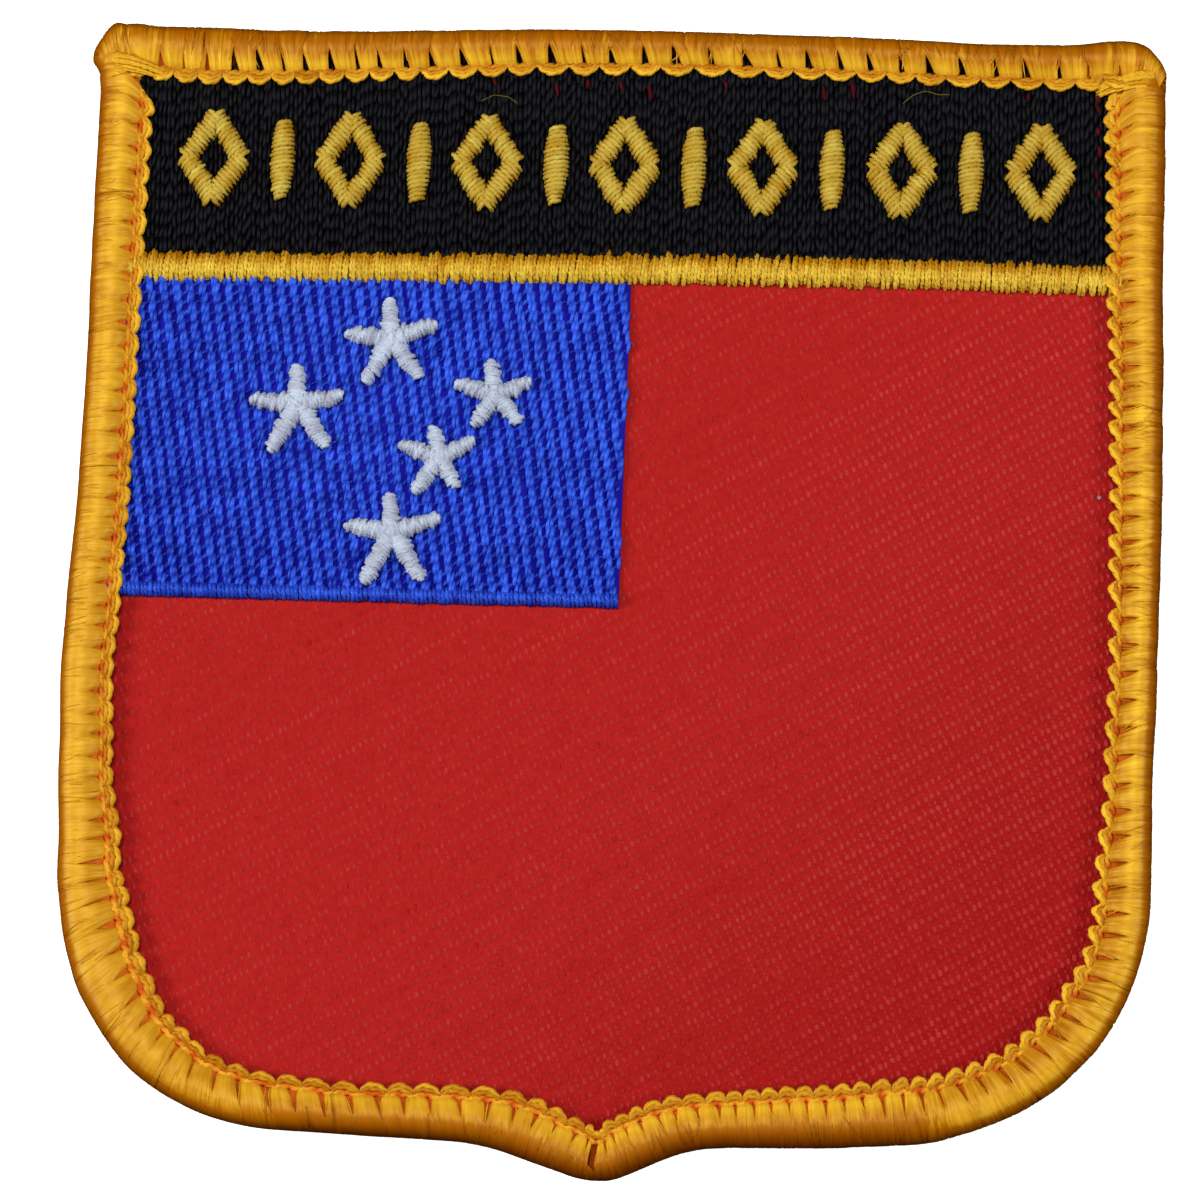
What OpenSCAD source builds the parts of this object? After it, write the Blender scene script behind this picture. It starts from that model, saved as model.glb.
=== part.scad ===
// Shield-shaped embroidered patch with an overlocked border, lying flat with its face up.
// The origin is under the patch's middle. X runs to the right of the face, Y towards its top edge
// and Z out of the face.

/* [Outline] */
// Width across the straight sides
patch_w = 65.2; // [56:0.2:90]
// Height from the middle of the top edge down to the point
patch_h = 69.8; // [62:0.2:100]
// Radius of the two top corners
top_corner_r = 2.2; // [1:0.1:6]
// Drop of the top edge from its middle to its lowest places
top_dip = 0.45; // [0:0.05:1.5]
// Rise of the top edge from its lowest places to the corners
corner_rise = 0.25; // [0:0.05:0.45]
// Radius of the two bottom corners
bottom_corner_r = 14.8; // [8:0.2:20]
// Slope of the lower edge on each side of the point, in degrees
lower_slope = 2; // [0:0.5:8]
// Slope of the point's straight flanks, in degrees
point_slope = 20.5; // [12:0.5:35]
// Length of each straight flank of the point
point_flank = 2.9; // [1:0.1:6]
// Radius of the point's round end
point_r = 4.5; // [3.6:0.1:7]
// Radius of the hollow curve beside the point
hollow_r = 12; // [6:0.5:20]

/* [Border] */
// Width of the border's bead, from the outer edge inwards
border_w = 2.15; // [1.8:0.05:3]
// Thickness of the border's bead
border_t = 2.6; // [2.3:0.05:3.6]
// Thread at the outer edge, between it and the cloth's cut edge
border_wall = 0.6; // [0.4:0.05:1]
// Depth of the groove between two wraps
groove = 0.14; // [0:0.01:0.3]
// Width of the looped edge inside the bead
purl_w = 0.8; // [0.5:0.05:1.2]
// Thickness of the looped edge
purl_t = 0.6; // [0.4:0.05:1]
// How far the loops draw back between two bulges
purl_scallop = 0.3; // [0:0.02:0.4]
// Pitch of the wraps along the top edge
top_pitch = 1.9; // [1.5:0.05:2.6]
// Pitch of the wraps along the sides and round the top corners
side_pitch = 1.6; // [1.4:0.05:2.6]
// Pitch of the wraps round the bottom corners
corner_pitch = 1.35; // [1.2:0.05:2.6]
// Pitch of the wraps along the lower edge and round the point
lower_pitch = 1.1; // [1:0.05:2.6]

/* [Cloth] */
// Thickness of the ground cloth with its backing
cloth_t = 1; // [0.8:0.05:1.3]
// Height of the cloth's back above the surface that the border rests on
cloth_lift = 0.5; // [0.3:0.05:0.7]
// Clearance between two pieces that lie on or beside each other
seat_gap = 0.05; // [0.03:0.01:0.1]

/* [Fields] */
// Thickness of the fill embroidery
fill_t = 0.4; // [0.2:0.05:0.8]
// Thickness of satin embroidery at the middle of its width
satin_t = 0.55; // [0.3:0.05:0.9]
// Thickness of satin embroidery at its edges
satin_edge_t = 0.25; // [0.1:0.05:0.3]
// Distance from the middle of the top edge to the divider bar
title_h = 14.15; // [11:0.05:20]
// Width of the divider bar
bar_w = 1.8; // [1:0.05:3]
// Height of the canton, its hem included
canton_h = 19.9; // [17:0.1:26]
// How far the canton's right edge lies past the patch's middle
canton_past_middle = 0.75; // [-2:0.05:6]
// Width of the satin hem along the canton's lower edge
hem_w = 0.75; // [0.4:0.05:1.5]

/* [Ornament] */
// Number of open lozenges, with a spindle between each two
lozenge_count = 7; // [3:1:7]
// Clear margin from the looped edge to the first lozenge
ornament_margin = 2.1; // [1:0.1:5]
// Width of a lozenge
lozenge_w = 4.7; // [4:0.1:5.4]
// Height of a lozenge
lozenge_h = 7.2; // [5:0.1:8]
// Width of a lozenge's satin stroke
stroke_w = 1.15; // [0.8:0.05:1.3]
// Width of a spindle
spindle_w = 1.4; // [0.8:0.05:2]
// Height of a spindle
spindle_h = 5; // [3:0.1:7]
// Width of a spindle's blunt ends
spindle_end_w = 0.6; // [0.4:0.05:0.8]

/* [Stars] */
// Middle reach of the large stars' arms
star_reach = 2.95; // [2:0.05:3.2]
// Width of a large star's arm at its root
arm_root_w = 1.3; // [0.9:0.05:1.6]
// Width of a large star's arm at its round tip
arm_tip_w = 0.75; // [0.4:0.05:0.9]
// Width of a large star's middle, where its arms meet
star_heart_w = 1.6; // [1.2:0.05:2]

/* [Hidden] */
$fn = 32;
// The stars' places and sizes, as shares of the canton and of the large stars' reach.
STAR_ACROSS = 0;
STAR_UP = 1;
STAR_SIZE = 2;
stars = [
    // across, up from the lower edge, size
    [0.52, 0.80, 1.00],
    [0.335, 0.585, 1.00],
    [0.73, 0.64, 0.82],
    [0.62, 0.44, 0.82],
    [0.54, 0.20, 1.03],
];

function numbered(name, count) = [for (i = [1:count]) str(name, "_", i)];

gold = [0.88, 0.65, 0.16];
dull_gold = [0.86, 0.68, 0.27];
red = [0.71, 0.13, 0.13];
blue = [0.16, 0.27, 0.86];
black = [0.07, 0.07, 0.09];
white = [0.81, 0.83, 0.87];

// Heights of the layers, from the surface that the border rests on.
cloth_top = cloth_lift + cloth_t;
field_base = cloth_top + seat_gap;
field_top = field_base + fill_t;
motif_base = field_top + seat_gap;

// Depths inside the outer edge.
cloth_inset = border_wall + 2 * seat_gap;
purl_inset = border_w + seat_gap;
field_inset = purl_inset + purl_w + seat_gap;

// Lines across the face.
top_y = patch_h / 2;
bar_top_y = top_y - title_h;
bar_bottom_y = bar_top_y - bar_w;
canton_bottom_y = bar_bottom_y - canton_h;
field_left_x = field_inset - patch_w / 2;
canton_w = canton_past_middle - field_left_x;

// One star's arms, the same on all stars: short at the head, and a little long in the legs.
ARM_HEADING = 0;
ARM_REACH = 1;
arms = [
    // heading in degrees, share of the reach
    [95, 0.88],
    [168, 1.00],
    [241, 1.10],
    [307, 1.07],
    [19, 1.00],
];

// The outline of the right half, from the point round to the middle of the top edge.
// It is walked as a heading, so that a depth inside the edge only changes each arc's radius.
POINT = 0;
FLANK = 1;
HOLLOW = 2;
LOWER = 3;
CORNER = 4;
SIDE = 5;
TOP_CORNER = 6;
TOP = 7;

least_r = 0.3;

function ahead(h) = [cos(h), sin(h)];
function inward(h) = [-sin(h), cos(h)];
function on_arc(centre, r, h) = centre - r * inward(h);

point_centre = [0, point_r - top_y];
flank_start = on_arc(point_centre, point_r, point_slope);
flank_end = flank_start + point_flank * ahead(point_slope);
hollow_centre = on_arc(flank_end, hollow_r, point_slope);
lower_start = hollow_centre + hollow_r * inward(lower_slope);
lower_end_x = patch_w / 2 - bottom_corner_r * (1 - sin(lower_slope));
lower_run = (lower_end_x - lower_start.x) / cos(lower_slope);
lower_end = lower_start + lower_run * ahead(lower_slope);
corner_centre = lower_end + bottom_corner_r * inward(lower_slope);

corner_top_y = top_y - top_dip + corner_rise;
function top_r(d) = max(top_corner_r - d, least_r);
function top_centre(d) = [patch_w / 2 - d - top_r(d), corner_top_y - d - top_r(d)];

// Fall of the top edge: a low wave to its lowest place and up again to the corner.
dip_at = 0.82;
function wave(s) = (1 - cos(180 * s)) / 2;
function top_fall(s) = s < dip_at
    ? top_dip * wave(s / dip_at)
    : top_dip - corner_rise * wave((s - dip_at) / (1 - dip_at));

function turn(from, to, f) = from + (to - from) * f;

// The place at share f of a stretch of the right half, at depth d inside the edge. Past their own
// radius, the top corners keep a least radius.
function half_spot(stretch, f, d) =
    stretch == POINT ? on_arc(point_centre, point_r - d, turn(0, point_slope, f))
    : stretch == FLANK ? turn(flank_start, flank_end, f) + d * inward(point_slope)
    : stretch == HOLLOW ? hollow_centre + (hollow_r + d) * inward(turn(point_slope, lower_slope, f))
    : stretch == LOWER ? turn(lower_start, lower_end, f) + d * inward(lower_slope)
    : stretch == CORNER ? on_arc(corner_centre, bottom_corner_r - d, turn(lower_slope, 90, f))
    : stretch == SIDE ? [patch_w / 2 - d, turn(corner_centre.y, top_centre(d).y, f)]
    : stretch == TOP_CORNER ? on_arc(top_centre(d), top_r(d), turn(90, 180, f))
    : [top_centre(d).x * (1 - f), top_y - top_fall(1 - f) - d];

function arc_length(r, degrees) = r * degrees * PI / 180;

// How many pieces each stretch has at the given pitches, or for a plain sheet.
stretch_lengths = [
    arc_length(point_r, point_slope),
    point_flank,
    arc_length(hollow_r, point_slope - lower_slope),
    lower_run,
    arc_length(bottom_corner_r, 90 - lower_slope),
    top_centre(0).y - corner_centre.y,
    arc_length(top_corner_r, 90),
    top_centre(0).x,
];
pitches = [
    lower_pitch,
    lower_pitch,
    lower_pitch,
    lower_pitch,
    corner_pitch,
    side_pitch,
    side_pitch,
    top_pitch,
];
wrap_counts = [for (i = [POINT:TOP]) max(1, round(stretch_lengths[i] / pitches[i]))];
sheet_counts = [3, 1, 4, 1, 12, 1, 6, 12];

// Stations round the whole outline: [side, stretch, share, 1 in a groove and 0 on a wrap].
AT_SIDE = 0;
AT_STRETCH = 1;
AT_SHARE = 2;
IN_GROOVE = 3;
function right_stations(counts) =
    [for (i = [POINT:TOP]) for (k = [0:counts[i] - 1]) [1, i, k / counts[i], k % 2]];
function mirrored(right) =
    [for (i = [len(right) - 1:-1:1])
        let (s = right[i])
        [-1, s[AT_STRETCH], s[AT_SHARE], s[IN_GROOVE]]];
function all_stations(counts) =
    let (right = right_stations(counts))
    concat(right, [[1, TOP, 1, 0]], mirrored(right));
function spot(station, d) =
    let (p = half_spot(station[AT_STRETCH], station[AT_SHARE], d))
    [station[AT_SIDE] * p.x, p.y];

wrap_stations = all_stations(2 * wrap_counts);
sheet_outline_stations = all_stations(sheet_counts);

// A closed ring swept through stations. Each station gives one loop of points, all of the same
// length, going round the section clockwise as seen when looking along the sweep.
module closed_sweep(loops) {
    n = len(loops);
    m = len(loops[0]);
    faces = [for (i = [0:n - 1]) for (j = [0:m - 1])
        let (a = i * m + j)
        let (b = i * m + (j + 1) % m)
        let (c = ((i + 1) % n) * m + (j + 1) % m)
        let (e = ((i + 1) % n) * m + j)
        for (t = [[a, b, c], [a, c, e]]) t];
    polyhedron([for (loop = loops) for (p = loop) p], faces);
}

// A flat sheet of the shield's shape at depth d inside the edge.
module shield_sheet(d, base, thick) {
    translate([0, 0, base])
        linear_extrude(thick)
            polygon([for (s = sheet_outline_stations) spot(s, d)]);
}

// A raised satin strip along X, with a domed section.
module satin_strip(from_x, to_x, low_y, width, thick) {
    crown = thick - satin_edge_t;
    dome_r = (width * width / 4 + crown * crown) / (2 * crown);
    translate([from_x, low_y + width / 2, field_base])
        rotate([90, 0, 90])
            linear_extrude(to_x - from_x)
                intersection() {
                    translate([-width / 2, 0])
                        square([width, thick]);
                    translate([0, thick - dome_r])
                        circle(dome_r, $fn = 96);
                }
}

// The bead's rounded back, from the outer edge over its crest.
bead_back = [
    // share of the width, share of the thickness, groove's shares inwards and down
    [0.00, 0.46, 0.6, 0.0],
    [0.16, 0.86, 0.5, 0.6],
    [0.48, 1.00, 0.0, 1.0],
    [0.80, 0.90, 0.0, 1.2],
];
// The flat that the bead rests on, as shares of its width.
bead_foot = [0.85, 0.22];

// Section of the bead: [depth inside the edge, height]. It rounds over the top, grips the cloth's
// edge in a slot, and lies flat underneath.
function bead_section(groove_here) = concat(
    [for (b = bead_back)
        [b[0] * border_w + b[2] * groove_here, b[1] * border_t - b[3] * groove_here]],
    [
        [border_w, cloth_top + seat_gap],
        [border_wall, cloth_top + seat_gap],
        [border_wall, cloth_lift - seat_gap],
        [border_w, cloth_lift - seat_gap],
    ],
    [for (share = bead_foot) [share * border_w, 0]]);

module border() {
    color(gold)
        closed_sweep([for (s = wrap_stations)
            [for (q = bead_section(groove * s[IN_GROOVE]))
                let (p = spot(s, q[0]))
                [p.x, p.y, q[1]]]]);
}

// The looped edge's section, with its crest at this share of its width.
purl_crest = 0.6;
purl_heel = 0.8;
function purl_section(draw_back) = [
    [purl_inset, field_base],
    [purl_inset, field_base + purl_t * purl_heel],
    [purl_inset + (purl_w - draw_back) * purl_crest, field_base + purl_t],
    [purl_inset + purl_w - draw_back, field_base],
];

// The loops bulge behind the grooves, and draw back at the wraps.
module purl_edge() {
    color(gold)
        closed_sweep([for (s = wrap_stations)
            [for (q = purl_section(purl_scallop * (1 - s[IN_GROOVE])))
                let (p = spot(s, q[0]))
                [p.x, p.y, q[1]]]]);
}

module ground_cloth() {
    color(red)
        shield_sheet(cloth_inset, cloth_lift, cloth_t);
}

// The part of a field sheet between two lines, up to a line on the right.
module field_part(low_y, high_y, right_x) {
    intersection() {
        shield_sheet(field_inset, field_base, fill_t);
        translate([-patch_w, low_y, 0])
            cube([patch_w + right_x, high_y - low_y, border_t]);
    }
}

module title_field() {
    color(black)
        field_part(bar_top_y + seat_gap, patch_h, patch_w);
}

module canton() {
    color(blue)
        field_part(canton_bottom_y + hem_w + seat_gap, bar_bottom_y - seat_gap, canton_past_middle);
}

module divider_bar() {
    color(dull_gold)
        satin_strip(field_left_x, -field_left_x, bar_bottom_y, bar_w, satin_t);
}

module canton_hem() {
    color(blue)
        satin_strip(field_left_x, canton_past_middle, canton_bottom_y, hem_w, fill_t + seat_gap);
}

// One arm from the star's middle: a wide round root, straight sides and a round tip.
module arm(heading, reach, root_w, tip_w) {
    rotate(heading) {
        polygon([[0, -root_w / 2], [reach - tip_w / 2, -tip_w / 2],
            [reach - tip_w / 2, tip_w / 2], [0, root_w / 2]]);
        translate([reach - tip_w / 2, 0])
            circle(tip_w / 2);
    }
}

module star(i) {
    row = stars[i];
    size = row[STAR_SIZE];
    place = [field_left_x + row[STAR_ACROSS] * canton_w, canton_bottom_y + row[STAR_UP] * canton_h];
    root_w = arm_root_w * size;
    tip_w = arm_tip_w * size;
    color(white)
        translate([place.x, place.y, motif_base])
            linear_extrude(satin_t)
                union() {
                    for (a = arms)
                        arm(a[ARM_HEADING], a[ARM_REACH] * star_reach * size, root_w, tip_w);
                    circle(star_heart_w * size / 2);
                }
}

// The ornament's band is centred on the black field.
ornament_y = (bar_top_y + top_y - field_inset - top_dip / 2) / 2;
ornament_reach = -field_left_x - ornament_margin - lozenge_w / 2;
lozenge_pitch = 2 * ornament_reach / (lozenge_count - 1);

// Section across a lozenge's stroke: [share of the stroke from its outer side, height].
stroke_section = [
    [0, 0],
    [0, satin_edge_t],
    [0.5, satin_t],
    [1, satin_edge_t],
    [1, 0],
];
diamond = [[1, 0], [0, 1], [-1, 0], [0, -1]];

module lozenge(i) {
    half = [lozenge_w, lozenge_h] / 2;
    // How much a diamond of these half widths shrinks to stand one stroke further in.
    shrink = stroke_w * norm(half) / (half.x * half.y);
    color(dull_gold)
        translate([i * lozenge_pitch - ornament_reach, ornament_y, motif_base])
            closed_sweep([for (corner = diamond)
                [for (q = stroke_section)
                    let (size = 1 - shrink * q[0])
                    [corner.x * half.x * size, corner.y * half.y * size, q[1]]]]);
}

// Sections along a spindle, from its lower end.
spindle_rows = [
    // share of its half height, share of its swelling, share of its crown
    [-1.00, 0.0, 0.50],
    [-0.55, 0.7, 0.85],
    [0.00, 1.0, 1.00],
    [0.55, 0.7, 0.85],
    [1.00, 0.0, 0.50],
];

module spindle(i) {
    rows = [for (r = spindle_rows)
        let (half = turn(spindle_end_w, spindle_w, r[1]) / 2)
        let (crown = turn(satin_edge_t, satin_t, r[2]))
        let (y = r[0] * spindle_h / 2)
        [[-half, y, 0], [half, y, 0], [half, y, satin_edge_t], [0, y, crown], [-half, y, satin_edge_t]]];
    n = len(rows);
    m = len(rows[0]);
    sides = [for (k = [0:n - 2]) for (j = [0:m - 1])
        let (a = k * m + j)
        let (b = k * m + (j + 1) % m)
        for (t = [[a, b, b + m], [a, b + m, a + m]]) t];
    ends = [[for (j = [m - 1:-1:0]) j], [for (j = [0:m - 1]) (n - 1) * m + j]];
    color(dull_gold)
        translate([(i + 0.5) * lozenge_pitch - ornament_reach, ornament_y, motif_base])
            polyhedron([for (r = rows) for (p = r) p], concat(sides, ends));
}

ground_cloth();
border();
purl_edge();
title_field();
divider_bar();
canton();
canton_hem();
for (i = [0:len(stars) - 1])
    star(i);
for (i = [0:lozenge_count - 1])
    lozenge(i);
for (i = [0:lozenge_count - 2])
    spindle(i);
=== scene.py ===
"""Looks of the embroidered patch: every stitch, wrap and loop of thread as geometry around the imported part.

Lengths are in millimetres until a mesh is made, and then in metres. The patch lies face up with its
straight edge towards +Y. "Walk" is the distance along its outer edge, counterclockwise from the point,
and "depth" is how far inside that edge a place lies.
"""

import math
from collections import namedtuple

import bpy
import numpy as np
from mathutils import Matrix, Vector


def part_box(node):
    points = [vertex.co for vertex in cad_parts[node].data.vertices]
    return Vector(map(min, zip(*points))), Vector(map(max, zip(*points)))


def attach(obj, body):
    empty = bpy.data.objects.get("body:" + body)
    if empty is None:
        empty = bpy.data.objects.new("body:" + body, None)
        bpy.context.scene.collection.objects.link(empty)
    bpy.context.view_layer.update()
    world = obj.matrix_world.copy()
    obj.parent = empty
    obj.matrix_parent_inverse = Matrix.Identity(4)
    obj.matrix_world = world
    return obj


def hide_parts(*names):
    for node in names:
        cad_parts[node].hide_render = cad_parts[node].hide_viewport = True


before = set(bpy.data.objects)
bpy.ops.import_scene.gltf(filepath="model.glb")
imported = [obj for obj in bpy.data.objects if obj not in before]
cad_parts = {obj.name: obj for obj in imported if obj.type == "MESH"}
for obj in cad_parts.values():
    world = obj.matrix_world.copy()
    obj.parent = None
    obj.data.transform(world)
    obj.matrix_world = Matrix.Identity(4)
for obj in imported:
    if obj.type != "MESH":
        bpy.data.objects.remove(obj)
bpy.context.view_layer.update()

MM = 0.001
UP = np.array([0.0, 0.0, 1.0])


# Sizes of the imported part

PATCH_W = 65.2
PATCH_H = 69.8
TOP_CORNER_R = 2.2
TOP_DIP = 0.45
CORNER_RISE = 0.25
DIP_AT = 0.82
BOTTOM_CORNER_R = 14.8
LOWER_SLOPE = math.radians(2)
POINT_SLOPE = math.radians(20.5)
POINT_FLANK = 2.9
POINT_R = 4.5
HOLLOW_R = 12.0
LEAST_R = 0.3


def node_box(node):
    """The lowest and highest corner of a CAD node, in mm."""
    low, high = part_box(node)
    return np.array(low) / MM, np.array(high) / MM


CLOTH_LOW, CLOTH_HIGH = node_box("ground_cloth")
TITLE_LOW, TITLE_HIGH = node_box("title_field")
BAR_LOW, BAR_HIGH = node_box("divider_bar")
CANTON_LOW, CANTON_HIGH = node_box("canton")
HEM_LOW, HEM_HIGH = node_box("canton_hem")
FIELD_BASE = CANTON_LOW[2]
MOTIF_BASE = node_box("lozenge_1")[0][2]


# Camera

CAMERA_ELEVATION = math.radians(79)
CAMERA_AZIMUTH = math.radians(25.42)
CAMERA_ROLL = math.radians(2.316)
CAMERA_DISTANCE = 296.4
CAMERA_AIM = Vector((-0.500, -0.437, 1.2))
LENS = 148.76
SENSOR = 36.0
CLIP_START = 0.01


def add_object(name, data):
    """An object of the scene."""
    obj = bpy.data.objects.new(name, data)
    bpy.context.scene.collection.objects.link(obj)
    return obj


def add_camera():
    """The camera at the photograph's angle: high above the patch's lower right."""
    level, rise = math.cos(CAMERA_ELEVATION), math.sin(CAMERA_ELEVATION)
    back = Vector((math.sin(CAMERA_AZIMUTH) * level, -math.cos(CAMERA_AZIMUTH) * level, rise))
    along_y = Vector((0, 1, 0))
    up = (along_y - back * back.dot(along_y)).normalized()
    right = up.cross(back)
    turn = Matrix.Rotation(CAMERA_ROLL, 3, back)
    right, up = turn @ right, turn @ up
    data = bpy.data.cameras.new("camera")
    data.lens = LENS
    data.sensor_width = SENSOR
    data.clip_start = CLIP_START
    camera = add_object("camera", data)
    axes = Matrix((right, up, back)).transposed()
    place = (CAMERA_AIM + back * CAMERA_DISTANCE) * MM
    camera.matrix_world = Matrix.Translation(place) @ axes.to_4x4()
    bpy.context.scene.camera = camera


add_camera()


# The shield's edge

def ahead(h):
    """Unit vectors along headings, which turn left from +X."""
    return np.stack([np.cos(h), np.sin(h)], -1)


def inward(h):
    """Unit vectors to the left of headings."""
    return np.stack([-np.sin(h), np.cos(h)], -1)


def on_arc(centre, r, h):
    """Places on an arc that turns left, by their headings."""
    return centre - np.asarray(r)[..., None] * inward(h)


TOP_Y = PATCH_H / 2
SIDE_X = PATCH_W / 2
point_centre = np.array([0.0, POINT_R - TOP_Y])
flank_start = on_arc(point_centre, POINT_R, POINT_SLOPE)
flank_end = flank_start + POINT_FLANK * ahead(POINT_SLOPE)
hollow_centre = on_arc(flank_end, HOLLOW_R, POINT_SLOPE)
lower_start = hollow_centre + HOLLOW_R * inward(LOWER_SLOPE)
lower_end_x = SIDE_X - BOTTOM_CORNER_R * (1 - math.sin(LOWER_SLOPE))
lower_run = (lower_end_x - lower_start[0]) / math.cos(LOWER_SLOPE)
lower_end = lower_start + lower_run * ahead(LOWER_SLOPE)
corner_centre = lower_end + BOTTOM_CORNER_R * inward(LOWER_SLOPE)
corner_top_y = TOP_Y - TOP_DIP + CORNER_RISE


def top_corner(d):
    """Radius and centre of the right top corner at depth d."""
    r = np.maximum(TOP_CORNER_R - d, LEAST_R)
    return r, np.stack([SIDE_X - d - r, corner_top_y - d - r], -1)


def wave(s):
    """A smooth step from 0 to 1."""
    return (1 - np.cos(np.pi * s)) / 2


def top_fall(s):
    """Fall of the top edge at share s of the way from its middle to the corner."""
    fall = TOP_DIP * wave(s / DIP_AT)
    rise = CORNER_RISE * wave((s - DIP_AT) / (1 - DIP_AT))
    return np.where(s < DIP_AT, fall, TOP_DIP - rise)


def arc(centre, r, start, end):
    """Places at a share and a depth of an arc between two headings. The radius of a hollow is under 0."""
    return lambda f, d: on_arc(centre, r - d, start + (end - start) * f)


def line(start, end, h):
    """Places at a share and a depth of a straight line."""
    return lambda f, d: start + (end - start) * f[..., None] + d[..., None] * inward(h)


# Wraps stay square to the side until shortly before the top corner. With a higher power they turn later.
SIDE_TURN = 8


def on_side(f, d):
    """Places at a share and a depth of the right side."""
    start, outer, here = corner_centre[1], top_corner(0.0)[1][1], top_corner(d)[1][..., 1]
    return np.stack([SIDE_X - d, start + (outer - start) * f + (here - outer) * f ** SIDE_TURN], -1)


# The top's wraps run on over the corner, down to the level where their loops end. There the band's inner side
# starts within the side's edge, runs to the left, and lies a little lower than along the top.
TOP_BAND_DEPTH = 3.5
BAND_INSET = 0.7
BAND_RUN = 1.5
BAND_DROP = 0.2


def on_top_corner(f, d):
    """Places at a share and a depth of the band round the right top corner."""
    outer = arc(top_corner(0.0)[1], TOP_CORNER_R, math.pi / 2, math.pi)(f, np.minimum(d, 0))
    inner = np.stack([SIDE_X - BAND_INSET - BAND_RUN * f, TOP_Y - BAND_DROP - TOP_BAND_DEPTH + 0 * f], -1)
    return outer + (inner - outer) * (np.maximum(d, 0) / TOP_BAND_DEPTH)[..., None]


def on_top(f, d):
    """Places at a share and a depth of the top, from its corner to its middle."""
    return np.stack([top_corner(0.0)[1][0] * (1 - f) + 0 * d, TOP_Y - top_fall(1 - f) - d], -1)


STRETCHES = [
    # place at a share and depth, length at the edge
    (arc(point_centre, POINT_R, 0, POINT_SLOPE), POINT_R * POINT_SLOPE),
    (line(flank_start, flank_end, POINT_SLOPE), POINT_FLANK),
    (arc(hollow_centre, -HOLLOW_R, POINT_SLOPE, LOWER_SLOPE), HOLLOW_R * (POINT_SLOPE - LOWER_SLOPE)),
    (line(lower_start, lower_end, LOWER_SLOPE), lower_run),
    (
        arc(corner_centre, BOTTOM_CORNER_R, LOWER_SLOPE, math.pi / 2),
        BOTTOM_CORNER_R * (math.pi / 2 - LOWER_SLOPE),
    ),
    (on_side, top_corner(0.0)[1][1] - corner_centre[1]),
    (on_top_corner, TOP_CORNER_R * math.pi / 2),
    (on_top, top_corner(0.0)[1][0]),
]
HALF_WALK = sum(length for _, length in STRETCHES)
WALK = 2 * HALF_WALK
# Walks where the sides meet the top corners.
CORNER_WALK = sum(length for _, length in STRETCHES[:6])
CORNER_WALKS = (CORNER_WALK, WALK - CORNER_WALK)

# Depths of the real bead's outer side and of its loops' tips, and how far the loops bulge.
BEAD_EDGES = [
    # walk, outer side, tips, bulge
    (0.0, -0.10, 2.80, 0.36),
    (0.7, -0.12, 2.95, 0.36),
    (2.0, -0.12, 3.35, 0.38),
    (4.5, -0.08, 3.45, 0.40),
    (7.5, 0.02, 3.35, 0.40),
    (13.5, 0.00, 3.70, 0.38),
    (19.5, 0.16, 4.20, 0.40),
    (23.0, 0.34, 4.20, 0.45),
    (28.5, 0.20, 4.05, 0.45),
    (33.0, 0.13, 3.95, 0.45),
    (37.5, 0.10, 3.60, 0.45),
    (42.0, -0.03, 3.50, 0.48),
    (48.0, 0.00, 3.05, 0.50),
    (55.5, -0.14, 2.88, 0.50),
    (64.5, -0.22, 3.05, 0.50),
    (72.0, -0.14, 3.20, 0.45),
    (79.5, 0.02, 3.55, 0.42),
    (85.5, 0.02, 3.70, 0.38),
    (90.5, 0.10, 3.90, 0.40),
    (91.5, 0.34, 3.62, 0.36),
    (92.4, 0.40, 3.50, 0.35),
    (93.2, 0.34, 3.48, 0.36),
    (94.1, 0.15, 3.46, 0.38),
    (96.0, 0.02, 3.42, 0.45),
    (98.0, 0.12, 3.30, 0.55),
    (103.5, 0.13, 3.15, 0.62),
    (110.0, 0.01, 3.05, 0.62),
    (118.5, 0.09, 3.10, 0.65),
    (130.5, 0.07, 3.22, 0.65),
    (139.5, 0.08, 3.50, 0.60),
    (145.5, 0.02, 3.70, 0.50),
    (151.5, -0.10, 3.80, 0.48),
    (154.4, 0.05, 3.75, 0.45),
    (156.3, -0.08, 3.65, 0.45),
    (157.1, -0.46, 3.60, 0.45),
    (158.1, -0.34, 3.58, 0.45),
    (159.3, -0.50, 3.55, 0.45),
    (160.4, 0.00, 3.65, 0.43),
    (161.4, 0.10, 3.70, 0.42),
    (163.5, 0.10, 3.65, 0.32),
    (170.0, 0.12, 3.60, 0.28),
    (178.5, 0.22, 3.58, 0.26),
    (186.0, 0.14, 3.58, 0.26),
    (193.5, -0.16, 3.38, 0.26),
    (197.0, -0.26, 3.18, 0.26),
    (202.5, -0.06, 3.43, 0.24),
    (208.5, 0.22, 4.28, 0.24),
    (212.0, 0.34, 4.82, 0.22),
    (214.5, 0.26, 4.92, 0.22),
    (217.5, 0.06, 4.62, 0.24),
    (223.5, -0.29, 3.78, 0.30),
    (227.0, -0.25, 3.33, 0.36),
    (232.5, -0.18, 3.15, 0.45),
    (236.0, -0.18, 2.98, 0.48),
    (241.5, -0.14, 3.20, 0.45),
    (246.5, -0.14, 3.60, 0.40),
    (249.2, -0.12, 3.25, 0.36),
    (WALK, -0.10, 2.80, 0.36),
]
PLAIN_TIP = 2.95
# The real point lies a little to the right of the middle, and the shift fades away from it.
POINT_SHIFT = 0.7
SHIFT_WALK = 3.6


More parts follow.
